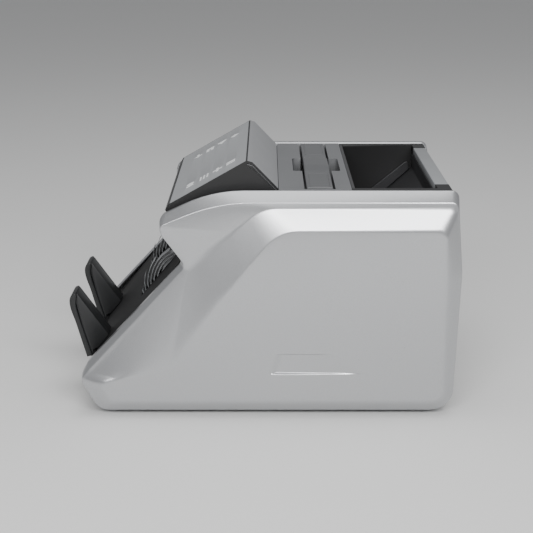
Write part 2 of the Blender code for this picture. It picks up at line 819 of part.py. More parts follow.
def finger(name, side):
    """Curved stop finger: a wide front blade on a narrower body that runs back on to the tray."""
    tip = FRONT_Y - FINGER_REACH
    blade = [
        (tip, FINGER_TIP),
        (tip + 0.0006, FINGER_TIP - 0.0070),
        (tip + 0.0025, FINGER_TIP - 0.0150),
        (tip + 0.0055, FINGER_TIP - 0.0250),
        (tip + 0.0090, FINGER_TIP - 0.0400),
        (tip + 0.0125, FINGER_TIP - 0.0565),
        (tip + 0.0192, FINGER_TIP - 0.0565),
        (tip + 0.0172, FINGER_TIP - 0.0500),
        (tip + 0.0160, FINGER_TIP - 0.0450),
        (tip + 0.0112, FINGER_TIP - 0.0285),
        (tip + 0.0068, FINGER_TIP - 0.0150),
        (tip + 0.0034, FINGER_TIP - 0.0010),
    ]
    low = FRONT_Y + 0.0062
    back = FRONT_Y + 0.0170
    lift = 0.0007
    body = [
        (FRONT_Y - 0.0116, 0.0835),
        (FRONT_Y - 0.0070, 0.0776),
        (FRONT_Y - 0.0010, 0.0680),
        (FRONT_Y + 0.0060, 0.0580),
        (back, tray_z(back) + lift),
        (low, tray_z(low) + lift),
        (FRONT_Y + 0.0010, 0.0364),
        (FRONT_Y - 0.0060, 0.0560),
        (FRONT_Y - 0.0120, 0.0790),
    ]
    middle = side * FINGER_X
    half = FINGER_WIDTH / 2
    piece = sheet(name, [blade], middle - half, middle + half, BLACK_PLASTIC)
    half = FINGER_BODY / 2
    join(piece, sheet(name + "_body", [body], middle - half, middle + half, BLACK_PLASTIC))


# Transport, shafts and belts

SHAFTS = (
    ("stacker", WHEEL_Y, WHEEL_Z),
    ("drive", DRIVE_Y, DRIVE_Z),
    ("feed", FEED_Y, FEED_Z),
)
TRACK_A = FRAME_X + PLATE + 0.0035  # middle of the belt track nearest the frame
TRACK_B = TRACK_A + PULLEY_WIDTH + 0.0006


def belt(name, low, high, first, second):
    """Flat belt round two pulleys given as (y, z, radius)."""
    loops = []
    for extra in (GAP, GAP + BELT):
        y1, z1, r1 = first
        y2, z2, r2 = second
        r1 += extra
        r2 += extra
        along = math.atan2(z2 - z1, y2 - y1)
        spread = math.acos((r1 - r2) / math.hypot(y2 - y1, z2 - z1))
        loop = []
        for y, z, r, start, sweep in (
            (y1, z1, r1, along + spread, 2 * math.pi - 2 * spread),
            (y2, z2, r2, along - spread, 2 * spread),
        ):
            for step in range(9):
                angle = start + sweep * step / 8
                loop.append((y + r * math.cos(angle), z + r * math.sin(angle)))
        loops.append(loop)
    sheet(name, loops, low, high, RUBBER)


def roller(name, centre, radius):
    """Two rubber lands joined by a thinner sleeve, bored for the shaft."""
    near = ROLLER_X - ROLLER_WIDTH / 2
    far = ROLLER_X + ROLLER_WIDTH / 2
    bore = SHAFT_RADIUS + GAP
    neck = SHAFT_RADIUS + 0.002
    turned(name, [
        (radius, far),
        (radius, near),
        (neck, near),
        (neck, -near),
        (radius, -near),
        (radius, -far),
        (bore, -far),
        (bore, far),
    ], centre, ROLLER_RUBBER, ring=True)


def transport():
    guide_x = HOPPER_X - 0.002
    start = WHEEL_Y + WHEEL_RADIUS + 0.0035
    finish = HOPPER_FRONT - 0.0065
    lower = box(
        "lower_note_guide", (-guide_x, start, PATH_Z - PLATE), (guide_x, finish, PATH_Z), STEEL
    )
    upper = box(
        "upper_note_guide",
        (-guide_x, start, PATH_Z + PATH_HEIGHT),
        (guide_x, finish, PATH_Z + PATH_HEIGHT + PLATE),
        STEEL,
    )
    sensor_y = DRIVE_Y - DRIVE_RADIUS - 0.012
    box(
        "sensor_bar",
        (-guide_x + 0.004, sensor_y - 0.006, PATH_Z + PATH_HEIGHT + PLATE + GAP),
        (guide_x - 0.004, sensor_y + 0.006, PATH_Z + PATH_HEIGHT + PLATE + 0.009),
        BLACK_PLASTIC,
    )
    for side, label in ((1, "right"), (-1, "left")):
        x = side * ROLLER_X
        drive = (x, DRIVE_Y, DRIVE_Z)
        pinch = (x, DRIVE_Y, PINCH_Z)
        wide = ROLLER_WIDTH + 0.003
        cut(lower, rod(f"drive_slot_{label}", drive, DRIVE_RADIUS + 0.001, wide, STEEL))
        cut(upper, rod(f"pinch_slot_{label}", pinch, PINCH_RADIUS + 0.001, wide, STEEL))
    roller("drive_roller", (0, DRIVE_Y, DRIVE_Z), DRIVE_RADIUS)
    roller("feed_roller", (0, FEED_Y, FEED_Z), FEED_RADIUS)
    near = ROLLER_X - ROLLER_WIDTH / 2
    far = ROLLER_X + ROLLER_WIDTH / 2
    turned("pinch_roller", [
        (0, far),
        (PINCH_RADIUS, far),
        (PINCH_RADIUS, near),
        (0.003, near),
        (0.003, -near),
        (PINCH_RADIUS, -near),
        (PINCH_RADIUS, -far),
        (0, -far),
    ], (0, DRIVE_Y, PINCH_Z), WHITE_PLASTIC, steps=20)
    reach = FRAME_X + PLATE + 0.001
    track_a = (-TRACK_A - PULLEY_WIDTH / 2, -TRACK_A + PULLEY_WIDTH / 2)
    track_b = (-TRACK_B - PULLEY_WIDTH / 2, -TRACK_B + PULLEY_WIDTH / 2)
    ends = {
        "stacker": (-TRACK_B - PULLEY_WIDTH / 2, reach),
        "drive": (-TRACK_B - PULLEY_WIDTH / 2, TRACK_A + PULLEY_WIDTH / 2),
        "feed": (-reach, TRACK_A + PULLEY_WIDTH / 2),
    }
    for shaft, y, z in SHAFTS:
        low, high = ends[shaft]
        centre = ((low + high) / 2, y, z)
        rod(f"{shaft}_shaft", centre, SHAFT_RADIUS, high - low, STEEL, segments=16)
    bore = SHAFT_RADIUS + GAP
    ring(
        "stacker_pulley", (-TRACK_B, WHEEL_Y, WHEEL_Z), bore, STACKER_PULLEY, PULLEY_WIDTH,
        WHITE_PLASTIC,
    )
    ring(
        "drive_pulley_left",
        (-(TRACK_A + TRACK_B) / 2, DRIVE_Y, DRIVE_Z),
        bore,
        DRIVE_PULLEY,
        TRACK_B - TRACK_A + PULLEY_WIDTH,
        WHITE_PLASTIC,
    )
    ring(
        "drive_pulley_right", (TRACK_A, DRIVE_Y, DRIVE_Z), bore, DRIVE_PULLEY, PULLEY_WIDTH,
        WHITE_PLASTIC,
    )
    ring(
        "feed_pulley", (TRACK_A, FEED_Y, FEED_Z), bore, FEED_PULLEY, PULLEY_WIDTH, WHITE_PLASTIC
    )
    inside = FRAME_X - 0.003
    rod(
        "main_motor",
        (-inside + 0.0265, MOTOR_Y, MOTOR_Z),
        MOTOR_RADIUS,
        0.053,
        STEEL,
        segments=28,
    )
    motor_end = -inside - GAP
    turned("motor_pulley", [
        (0, motor_end),
        (0.003, motor_end),
        (0.003, track_a[1]),
        (MOTOR_PULLEY, track_a[1]),
        (MOTOR_PULLEY, track_a[0]),
        (0, track_a[0]),
    ], (0, MOTOR_Y, MOTOR_Z), WHITE_PLASTIC, steps=20)
    trim = 0.0003
    belt(
        "motor_belt", track_a[0] + trim, track_a[1] - trim,
        (MOTOR_Y, MOTOR_Z, MOTOR_PULLEY), (DRIVE_Y, DRIVE_Z, DRIVE_PULLEY),
    )
    belt(
        "stacker_belt", track_b[0] + trim, track_b[1] - trim,
        (WHEEL_Y, WHEEL_Z, STACKER_PULLEY), (DRIVE_Y, DRIVE_Z, DRIVE_PULLEY),
    )
    belt(
        "feed_belt", -track_a[1] + trim, -track_a[0] - trim,
        (DRIVE_Y, DRIVE_Z, DRIVE_PULLEY), (FEED_Y, FEED_Z, FEED_PULLEY),
    )


# Electronics

def boards():
    deck = BASE_BOTTOM + PLATE
    box(
        "main_board",
        (FRAME_X - 0.0086, DRIVE_Y - 0.045, deck + 0.006),
        (FRAME_X - 0.007, DRIVE_Y + 0.035, DRIVE_Z - DRIVE_RADIUS - 0.004),
        BOARD,
    )
    rear = REAR_Y - 0.040
    power = box(
        "power_board",
        (0.008, rear - 0.060, deck + 0.006),
        (FRAME_X - 0.014, rear, deck + 0.0076),
        BOARD,
    )
    transformer = box(
        "transformer",
        (0.024, rear - 0.044, deck + 0.0074),
        (0.056, rear - 0.012, deck + 0.034),
        BOARD,
    )
    join(power, transformer)


# Rear cover, door and mains parts

def rear():
    back = REAR_Y - RIM_INSET
    front = back - REAR_COVER
    x = INNER_X - 0.0006
    cover = box(
        "rear_cover", (-x, front, 0.0085), (x, back, TOP_Z - RIM_HEIGHT - GAP), DARK_PLASTIC
    )
    axis_y = front + REAR_COVER / 2
    cut(
        cover,
        box(
            "doorway",
            (-DOOR_HALF - PLAY, front - 0.01, DOOR_LOW - 0.0025),
            (DOOR_HALF + PLAY, back + 0.01, DOOR_LOW + DOOR_HEIGHT + PLAY),
            DARK_PLASTIC,
        ),
        rod(
            "pin_socket", (0, axis_y, DOOR_LOW), PIN_RADIUS + GAP, 2 * DOOR_HALF + 0.008,
            DARK_PLASTIC, segments=12,
        ),
    )
    lean = 0.0019
    door_outline = rounded([
        (-lean, -lean, 0.0017),
        (lean, -lean, 0.0017),
        (lean, DOOR_HEIGHT, 0.0005),
        (-lean, DOOR_HEIGHT, 0.0005),
    ])
    door = sheet("rear_door", [door_outline], -DOOR_HALF, DOOR_HALF, DARK_PLASTIC)
    door.location = (0, axis_y, DOOR_LOW)
    pins = rod(
        "door_pins", (0, axis_y, DOOR_LOW), PIN_RADIUS, 2 * DOOR_HALF + 0.006, DARK_PLASTIC,
        segments=12,
    )
    join(door, pins)
    low_z = 0.034
    inlet_x, switch_x = 0.062, 0.030
    mains = (
        ("inlet_hole", inlet_x, INLET),
        ("switch_hole", switch_x, SWITCH),
    )
    for name, at, (wide, tall) in mains:
        cut(
            cover,
            box(
                name,
                (at - wide / 2, front - 0.01, low_z - tall / 2),
                (at + wide / 2, back + 0.01, low_z + tall / 2),
                DARK_PLASTIC,
            ),
        )
    knob_z = TOP_Z - 0.018
    cut(cover, rod("knob_hole", (0, axis_y, knob_z), 0.004, 0.02, DARK_PLASTIC, "Y"))
    wide, tall = INLET[0] / 2 - GAP, INLET[1] / 2 - GAP
    socket = box(
        "power_inlet",
        (inlet_x - wide, front - 0.016, low_z - tall),
        (inlet_x + wide, back + 0.0008, low_z + tall),
        BLACK_PLASTIC,
    )
    cut(
        socket,
        box(
            "socket_hollow",
            (inlet_x - wide + 0.002, front - 0.0135, low_z - tall + 0.003),
            (inlet_x + wide - 0.002, back + 0.01, low_z + tall - 0.003),
            BLACK_PLASTIC,
        ),
    )
    for pin, offset in (("live", -0.007), ("earth", 0.0), ("neutral", 0.007)):
        at = inlet_x + offset
        height = low_z + (0.002 if pin == "earth" else -0.002)
        join(
            socket,
            box(
                pin + "_pin",
                (at - 0.001, front - 0.0145, height - 0.002),
                (at + 0.001, back - PIN_SUNK, height + 0.002),
                STEEL,
            ),
        )
    wide, tall = SWITCH[0] / 2 - GAP, SWITCH[1] / 2 - GAP
    bezel = box(
        "switch_frame",
        (switch_x - wide, front - 0.010, low_z - tall),
        (switch_x + wide, back + 0.0008, low_z + tall),
        BLACK_PLASTIC,
    )
    cut(
        bezel,
        box(
            "rocker_well",
            (switch_x - wide + 0.0015, front - 0.008, low_z - tall + 0.0015),
            (switch_x + wide - 0.0015, back + 0.01, low_z + tall - 0.0015),
            BLACK_PLASTIC,
        ),
    )
    long = wide - 0.0026
    key = [
        (-long, -0.0020),
        (0, -0.0034),
        (long, -0.0020),
        (long - 0.0004, 0.0042),
        (0, 0.0032),
        (0.0004 - long, 0.0042),
    ]
    high = tall - 0.0021
    rocker = sheet("power_rocker", [key], -high, high, BLACK_PLASTIC, across="Z")
    rocker.location = (switch_x, back - 0.0032, low_z)
    rocker.rotation_euler = (0, 0, ROCKER_TILT)
    turned("gap_adjust_knob", [
        (0, 0.0042),
        (KNOB_RADIUS - 0.0008, 0.0042),
        (KNOB_RADIUS, 0.0034),
        (KNOB_RADIUS, GAP),
        (0.004 - GAP, GAP),
        (0.004 - GAP, -0.008),
        (0, -0.008),
    ], (0, back, knob_z), BLACK_PLASTIC, axis="Y", steps=24)


for side_name, side_sign in (("right", 1), ("left", -1)):
    side_cover(f"{side_name}_side_cover", side_sign)
chassis()
hopper()
top_cover()
control_panel()
stacker()
transport()
boards()
rear()
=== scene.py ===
import math

import bmesh
import bpy
from bpy.props import FloatProperty, FloatVectorProperty, PointerProperty
from mathutils import Matrix, Vector


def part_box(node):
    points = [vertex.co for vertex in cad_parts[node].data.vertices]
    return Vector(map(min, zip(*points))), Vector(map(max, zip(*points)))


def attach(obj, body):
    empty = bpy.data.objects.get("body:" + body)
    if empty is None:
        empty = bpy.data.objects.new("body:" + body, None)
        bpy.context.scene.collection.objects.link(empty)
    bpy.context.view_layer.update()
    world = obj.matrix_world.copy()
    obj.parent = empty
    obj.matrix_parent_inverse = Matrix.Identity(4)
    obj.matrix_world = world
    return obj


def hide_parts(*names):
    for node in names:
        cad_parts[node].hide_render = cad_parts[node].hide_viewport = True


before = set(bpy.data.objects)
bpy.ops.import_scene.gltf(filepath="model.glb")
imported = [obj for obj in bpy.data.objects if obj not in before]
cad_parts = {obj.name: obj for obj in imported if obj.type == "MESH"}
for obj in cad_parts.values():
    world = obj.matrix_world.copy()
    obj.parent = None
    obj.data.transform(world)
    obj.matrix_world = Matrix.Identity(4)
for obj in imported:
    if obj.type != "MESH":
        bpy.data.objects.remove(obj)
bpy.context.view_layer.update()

bl_info = {
    "name": "Banknote Counter",
    "version": (1, 0, 0),
    "blender": (4, 5, 0),
    "location": "View3D > Sidebar > Banknote Counter",
    "description": "Builds the finished surfaces of a desk-top banknote counting machine on its packed frame",
    "category": "Object",
}

MM = 0.001

# Places read from the frame. X is the width, the operator faces the front (-Y), Z is up.
COVER_LOW, COVER_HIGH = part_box("right_side_cover")
INNER_X = COVER_LOW.x
FRONT = COVER_LOW.y - 0.0003  # the covers' lines are laid out from here
REAR = COVER_HIGH.y
FOOT = COVER_LOW.z
TOP = COVER_HIGH.z
TOP_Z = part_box("top_cover")[1].z
PANEL_LOW, PANEL_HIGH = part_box("panel_housing")
PANEL_X = PANEL_HIGH.x
PANEL_FOOT = PANEL_HIGH.y
PANEL_BACK = 0.0245  # ridge to foot, front to rear
PANEL_FACE = 0.0713  # face, lower edge to ridge
PANEL_ANGLE = math.radians(29.6)
RIDGE = Vector((0, PANEL_FOOT - PANEL_BACK, PANEL_HIGH.z))
FACE_EDGE = RIDGE - PANEL_FACE * Vector((0, math.cos(PANEL_ANGLE), math.sin(PANEL_ANGLE)))
STRAP_LOW, STRAP_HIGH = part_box("carry_handle")


def linear(hex_colour):
    """An sRGB hex colour as the linear values that a colour socket takes."""
    channels = [int(hex_colour[i:i + 2], 16) / 255 for i in (1, 3, 5)]
    return tuple(c / 12.92 if c <= 0.04045 else ((c + 0.055) / 1.055) ** 2.4 for c in channels)


# --- settings

class COUNTER_PG_finishes(bpy.types.PropertyGroup):
    """Colours and surface values of the machine's finishes"""

    silver: FloatVectorProperty(
        name="Side cover silver", description="Lacquer on both side covers",
        subtype="COLOR", min=0, max=1, default=linear("#B6B7B9"),
    )
    top_grey: FloatVectorProperty(
        name="Top grey", description="Moulding of the top plate, strap and panel cap",
        subtype="COLOR", min=0, max=1, default=linear("#6C6D6F"),
    )
    film_grey: FloatVectorProperty(
        name="Panel film", description="Printed film over the keys and the display",
        subtype="COLOR", min=0, max=1, default=linear("#9D9FA1"),
    )
    icon_white: FloatVectorProperty(
        name="Icon white", description="Ink of the key symbols",
        subtype="COLOR", min=0, max=1, default=linear("#F2F3F3"),
    )
    black: FloatVectorProperty(
        name="Black moulding", description="Stacker, hopper and fingers",
        subtype="COLOR", min=0, max=1, default=linear("#161617"),
    )


class COUNTER_PG_sizes(bpy.types.PropertyGroup):
    """Sizes of the fine surface that the frame leaves open"""

    skin: FloatProperty(
        name="Cover wall", description="Wall of a side cover's moulded skin",
        default=0.0020, min=0.0010, max=0.0030, unit="LENGTH", precision=4,
    )
    crown: FloatProperty(
        name="Cover crown", description="Height of the crown on a side cover's raised panel",
        default=0.0024, min=0.0, max=0.0030, unit="LENGTH", precision=4,
    )
    scoop: FloatProperty(
        name="Scoop depth", description="Depth of the grip recess low on each side cover",
        default=0.0022, min=0.0, max=0.0030, unit="LENGTH", precision=4,
    )
    edge: FloatProperty(
        name="Moulding edge", description="Radius on the corners of moulded pieces",
        default=0.0005, min=0.0001, max=0.0010, unit="LENGTH", precision=4,
    )
    icon: FloatProperty(
        name="Icon size", description="Width of a key symbol",
        default=0.0140, min=0.006, max=0.018, unit="LENGTH", precision=4,
    )


# --- materials

def add(tree, kind, values=None, **settings):
    """Add a node. A value is a number, a colour or the output of another node."""
    made = tree.nodes.new(kind)
    for name, setting in settings.items():
        setattr(made, name, setting)
    for socket, value in (values or {}).items():
        if isinstance(value, bpy.types.NodeSocket):
            tree.links.new(value, made.inputs[socket])
        else:
            made.inputs[socket].default_value = value
    return made


def per(millimetres):
    """Texture scale whose pattern repeats about every so many millimetres."""
    return 1 / (millimetres * MM)


def shade(colour, factor):
    """A linear colour made lighter or darker, with full alpha."""
    return (*[min(c * factor, 1.0) for c in colour], 1.0)


def plain(hex_colour):
    return shade(linear(hex_colour), 1)


def blank(name):
    """A material with an empty node tree, its tree, and the object's coordinates in it."""
    made = bpy.data.materials.new(name)
    made.use_nodes = True
    made.node_tree.nodes.clear()
    return made, made.node_tree, add(made.node_tree, "ShaderNodeTexCoord").outputs["Object"]


def surface(tree, tone, values, gloss=None, relief=None):
    """Shader over a tone. Gloss is a pattern and the roughness at its two ends, and relief is a pattern,
    its strength and its height in millimetres."""
    values = {"Base Color": tone, **values}
    if gloss:
        pattern, low, high = gloss
        spread = add(tree, "ShaderNodeMapRange", {"Value": pattern, "To Min": low, "To Max": high})
        values["Roughness"] = spread.outputs["Result"]
    if relief:
        pattern, strength, height = relief
        bump = add(tree, "ShaderNodeBump", {
            "Height": pattern, "Strength": strength, "Distance": height * MM,
        })
        values["Normal"] = bump.outputs["Normal"]
    shader = add(tree, "ShaderNodeBsdfPrincipled", values)
    add(tree, "ShaderNodeOutputMaterial", {"Surface": shader.outputs[0]})


def moulded(name, colour, roughness, grain, relief, edge_wear_and_highlight=1.6, ior=1.53):
    """Injection-moulded plastic: spark-eroded grain, slight flow marks, and corners lightened, partly as
    rubbing wear and partly as a painted highlight along the edges.
    """
    made, tree, place = blank(name)
    flow = add(tree, "ShaderNodeTexNoise", {"Vector": place, "Scale": per(34), "Detail": 2.0})
    body = add(tree, "ShaderNodeMix", {
        0: flow.outputs["Fac"], 6: shade(colour, 0.93), 7: shade(colour, 1.07),
    }, data_type="RGBA")
    pits = add(tree, "ShaderNodeTexNoise", {"Vector": place, "Scale": per(grain), "Detail": 3.0})
    rounded_normal = add(tree, "ShaderNodeBevel", {"Radius": 0.7 * MM}, samples=4)
    true_normal = add(tree, "ShaderNodeNewGeometry")
    facing = add(tree, "ShaderNodeVectorMath", {
        0: rounded_normal.outputs[0], 1: true_normal.outputs["Normal"],
    }, operation="DOT_PRODUCT")
    # Lighter rounded edges: partly wear, partly a painted highlight where light catches the rounding.
    corner = add(tree, "ShaderNodeMapRange", {
        "Value": facing.outputs["Value"], "From Min": 0.99, "From Max": 0.80,
        "To Min": 0.0, "To Max": 0.55,
    })
    tone = add(tree, "ShaderNodeMix", {
        0: corner.outputs["Result"], 6: body.outputs[2], 7: shade(colour, edge_wear_and_highlight),
    }, data_type="RGBA")
    pattern = pits.outputs["Fac"]
    surface(
        tree, tone.outputs[2], {"IOR": ior}, (pattern, roughness - 0.05, roughness + 0.07),
        (pattern, 0.55, relief),
    )
    return made


def mottled(name, dark, light, size, detail, values, gloss=None, relief=None):
    """Surface with one noise pattern, which shifts its tone and, where given, its gloss and relief."""
    made, tree, place = blank(name)
    noise = add(tree, "ShaderNodeTexNoise", {"Vector": place, "Scale": per(size), "Detail": detail})
    pattern = noise.outputs["Fac"]
    tone = add(tree, "ShaderNodeMix", {0: pattern, 6: dark, 7: light}, data_type="RGBA")
    surface(
        tree, tone.outputs[2], values, gloss and (pattern, *gloss), relief and (pattern, *relief)
    )
    return made


def silver_lacquer(colour):
    """Aluminium-flake lacquer sprayed on moulded ABS: a soft satin sheen with a faint orange peel."""
    made, tree, place = blank("sprayed_silver_lacquer")
    # Real flakes are 0.05 mm across; they are drawn at 0.8 mm so that they show at all.
    flake = add(tree, "ShaderNodeTexNoise", {"Vector": place, "Scale": per(0.8), "Detail": 0.0})
    cloud = add(tree, "ShaderNodeTexNoise", {"Vector": place, "Scale": per(70), "Detail": 1.0})
    mottle = add(tree, "ShaderNodeMix", {
        0: cloud.outputs["Fac"], 6: shade(colour, 0.97), 7: shade(colour, 1.03),
    }, data_type="RGBA")
    tone = add(tree, "ShaderNodeMix", {
        0: flake.outputs["Fac"], 6: mottle.outputs[2], 7: shade(colour, 1.12),
    }, data_type="RGBA")
    peel = add(tree, "ShaderNodeTexNoise", {"Vector": place, "Scale": per(1.6), "Detail": 1.0})
    surface(
        tree, tone.outputs[2], {"Metallic": 0.85, "Coat Weight": 0.25, "Coat Roughness": 0.22},
        (flake.outputs["Fac"], 0.27, 0.31), (peel.outputs["Fac"], 0.14, 0.03),
    )
    return made


def zinc_steel():
    """Cold-rolled steel sheet, zinc plated and passivated: cool grey with faint spangle and rolling lines."""
    made, tree, place = blank("zinc_plated_steel_sheet")
    spangle = add(tree, "ShaderNodeTexVoronoi", {"Vector": place, "Scale": per(7)})
    stretched = add(tree, "ShaderNodeMapping", {"Vector": place, "Scale": (1.0, 0.08, 1.0)})
    streak = add(tree, "ShaderNodeTexNoise", {
        "Vector": stretched.outputs[0], "Scale": per(0.9), "Detail": 2.0,
    })
    tone = add(tree, "ShaderNodeMix", {
        0: spangle.outputs["Distance"], 6: plain("#A9ACAE"), 7: plain("#C3C6C7"),
    }, data_type="RGBA")
    surface(tree, tone.outputs[2], {"Metallic": 1.0}, (streak.outputs["Fac"], 0.26, 0.42))
    return made


def ground_steel():
    """Ground shaft steel: bright, with fine turning marks round the axis."""
    made, tree, place = blank("ground_shaft_steel")
    stretched = add(tree, "ShaderNodeMapping", {"Vector": place, "Scale": (1.0, 0.05, 0.05)})
    marks = add(tree, "ShaderNodeTexNoise", {
        "Vector": stretched.outputs[0], "Scale": per(0.6), "Detail": 2.0,
    })
    surface(tree, plain("#C9CACB"), {"Metallic": 1.0}, (marks.outputs["Fac"], 0.18, 0.34))
    return made


def glass_epoxy():
    """Glass-epoxy board under green solder mask: satin, with the weave's 0.6 mm squares just showing."""
    made, tree, place = blank("solder_masked_glass_epoxy")
    weave = add(tree, "ShaderNodeTexChecker", {"Vector": place, "Scale": per(1.2)})
    tone = add(tree, "ShaderNodeMix", {
        0: weave.outputs["Fac"], 6: plain("#1B4A2B"), 7: plain("#1F5431"),
    }, data_type="RGBA")
    surface(tree, tone.outputs[2], {"Roughness": 0.38, "IOR": 1.55})
    return made


# Each look has the slot of its pieces and a maker, which is given the colours in the settings.
LOOKS = {
    "silver": ("silver_cover", lambda own: silver_lacquer(own.silver)),
    # Grey ABS with the fine grain of a spark-eroded mould, drawn at 0.9 mm so that it shows.
    "top": ("dark_plastic", lambda own: moulded("moulded_grey_abs", own.top_grey, 0.42, 0.9, 0.03)),
    # Lighter ABS of the hopper's rear rim, same grain.
    "rim": ("rim_plastic", lambda own: moulded(
        "moulded_light_abs", linear("#8E9092"), 0.45, 0.9, 0.03, 1.3)),
    # Black ABS, as moulded, with a satin grain; its edges are painted lighter, partly as wear where hands and
    # notes rub it and partly as painted highlight.
    "black": ("black_plastic", lambda own: moulded("moulded_black_abs", own.black, 0.44, 0.8, 0.03, 2.6)),
    # Antistatic black ABS of the note path, smoother than the outside pieces.
    "hopper": ("black_plastic", lambda own: moulded(
        "antistatic_black_abs", linear("#2F2F31"), 0.36, 1.2, 0.015, 1.3)),
    # Black ABS of the stacker's tray, with a deeper grain that keeps glare off the notes.
    "tray": ("black_plastic", lambda own: moulded(
        "matt_black_abs", linear("#0F0F10"), 0.72, 1.0, 0.025, 1.4, 1.42)),
    # Lighter grey on the panel's back plate, same grain as the top: painted reflection on its upward faces,
    # while its side faces take the black.
    "cap": ("dark_plastic", lambda own: moulded(
        "mid_grey_abs_painted_reflection", linear("#8D8E90"), 0.42, 0.9, 0.03, 1.3)),
    # Darker grey ABS of the strap, polished a little by hands.
    "strap": ("dark_plastic", lambda own: moulded("handled_grey_abs", linear("#58595B"), 0.30, 0.9, 0.02)),
    # Black ABS of the stop fingers, polished by hands.
    "finger": ("black_plastic", lambda own: moulded(
        "handled_black_abs", linear("#1E1F20"), 0.42, 0.8, 0.015, 2.2)),
    # Grey polyurethane of the stacker wheels' thin fins, moulded and flexible.
    "wheel": ("grey_plastic", lambda own: moulded(
        "moulded_grey_polyurethane", linear("#7C7E80"), 0.38, 1.0, 0.01, 1.3)),
    # Natural acetal: waxy off-white, slightly translucent, as moulded.
    "acetal": ("white_plastic", lambda own: mottled(
        "moulded_natural_acetal", plain("#DAD9D2"), plain("#EBEAE4"), 6, 2.0,
        {"Roughness": 0.32, "IOR": 1.48, "Subsurface Weight": 0.15, "Subsurface Scale": 1.5 * MM})),
    # Polycarbonate overlay film, printed grey from behind. Its velvet texture is 0.1 mm across and is
    # drawn at 0.7 mm so that it shows.
    "film": ("panel_film", lambda own: mottled(
        "velvet_polycarbonate_film", shade(own.film_grey, 0.95), shade(own.film_grey, 1.06), 0.7, 3.0,
        {"IOR": 1.58}, (0.28, 0.38), (0.3, 0.01))),
    # Screen-printed white ink, slightly uneven where the mesh left it.
    "ink": ("panel_film", lambda own: mottled(
        "screen_printed_white_ink", shade(own.icon_white, 0.93), shade(own.icon_white, 1), 0.5, 2.0,
        {"Roughness": 0.45, "IOR": 1.5})),
    "zinc": ("steel", lambda own: zinc_steel()),
    "shaft": ("steel", lambda own: ground_steel()),
    # Nitrile rubber of feet and belts: deep black with a dusty bloom.
    "rubber": ("rubber", lambda own: mottled(
        "moulded_nitrile_rubber", plain("#161616"), plain("#232323"), 1.5, 4.0,
        {"Roughness": 0.75, "IOR": 1.52}, None, (0.5, 0.04))),
    # Ground polyurethane of the feed rollers: brick red, matt from grinding.
    "roller": ("roller_rubber", lambda own: mottled(
        "ground_red_polyurethane", plain("#6E2A1E"), plain("#82382A"), 0.8, 4.0,
        {"Roughness": 0.62, "IOR": 1.52}, None, (0.5, 0.04))),
    "board": ("board", lambda own: glass_epoxy()),
    # Seamless studio paper: pale, matt, with a faint fibre mottle.
    "paper": (None, lambda own: mottled(
        "seamless_studio_paper", plain("#E4E4E3"), plain("#E8E8E7"), 3, 3.0,
        {"Roughness": 0.85, "IOR": 1.45})),
}
FINISHES = {}


def finish(name):
    """The named look's material, made once."""
    if name not in FINISHES:
        FINISHES[name] = LOOKS[name][1](bpy.context.scene.counter_finishes)
    return FINISHES[name]


# --- mesh helpers

SHARP = math.radians(35)  # corners over this angle stay crisp


def piece_of(name, shape, look, sharp=SHARP):
    """A new piece from a bmesh in world coordinates, smooth but for corners over an angle."""
    mesh = bpy.data.meshes.new(name)
    shape.to_mesh(mesh)
    shape.free()
    mesh.materials.append(finish(look))
    mesh.shade_smooth()
    mesh.set_sharp_from_angle(angle=sharp)
    made = bpy.data.objects.new(name, mesh)
    bpy.context.scene.collection.objects.link(made)
    return made


def settle(piece, body, look, *nodes):
    """Ride the piece on its body, and let it stand for CAD nodes."""
    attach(piece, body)
    if nodes:
        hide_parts(*nodes)
    return piece


def soften(piece, width, segments=2):
    """Round the piece's sharp edges by a modifier."""
    edge = piece.modifiers.new("edge", "BEVEL")
    edge.width = width
    edge.segments = segments
    edge.limit_method = "ANGLE"
    edge.angle_limit = SHARP


def bake(piece):
    """Apply the piece's modifiers to its mesh."""
    evaluated = piece.evaluated_get(bpy.context.evaluated_depsgraph_get())
    mesh = bpy.data.meshes.new_from_object(evaluated)
    old = piece.data
    piece.modifiers.clear()
    piece.data = mesh
    bpy.data.meshes.remove(old)
    mesh.shade_smooth()
    mesh.set_sharp_from_angle(angle=SHARP)


def combine(piece, operation, tools):
    """Cut tools from a piece, or join them to it, for good."""
    for tool in tools:
        boolean = piece.modifiers.new(tool.name, "BOOLEAN")
        boolean.operation = operation
        boolean.solver = "EXACT"
        boolean.object = tool
    bpy.context.view_layer.update()
    bake(piece)
    for tool in tools:
        bpy.data.objects.remove(tool)


def rounded(corners, steps=4, runs=None):
    """Closed outline through (u, v, radius) corners: an arc at each, and straight runs cut in equal parts."""
    arcs = []
    for index, (u, v, radius) in enumerate(corners):
        here = Vector((u, v))
        before = (Vector(corners[index - 1][:2]) - here).normalized()
        after = (Vector(corners[(index + 1) % len(corners)][:2]) - here).normalized()
        half = before.angle(after) / 2
        centre = here + (before + after).normalized() * radius / math.sin(half)
        start = here + before * radius / math.tan(half) - centre
        end = here + after * radius / math.tan(half) - centre
        first = math.atan2(start.y, start.x)
        swing = math.atan2(end.y, end.x) - first
        swing = (swing + math.pi) % (2 * math.pi) - math.pi
        turns = [first + swing * step / steps for step in range(steps + 1)]
        arcs.append([centre + radius * Vector((math.cos(a), math.sin(a))) for a in turns])
    points = []
    for index, arc in enumerate(arcs):
        points += arc
        after = arcs[(index + 1) % len(arcs)][0]
        count = runs[index] if runs else 1
        points += [arc[-1].lerp(after, step / count) for step in range(1, count)]
    return points


def oblong(x, z, half_x, half_z, radius, steps):
    """Outline of a rectangle with round corners."""
    signs = ((-1, -1), (1, -1), (1, 1), (-1, 1))
    return rounded([(x + i * half_x, z + j * half_z, radius) for i, j in signs], steps)


def across(axis, u, v, w):
    """World point of outline coordinates (u, v) on the plane across an axis, at w along it."""
    if axis == "X":
        return Vector((w, u, v))
    if axis == "Y":
        return Vector((u, w, v))
    return Vector((u, v, w))


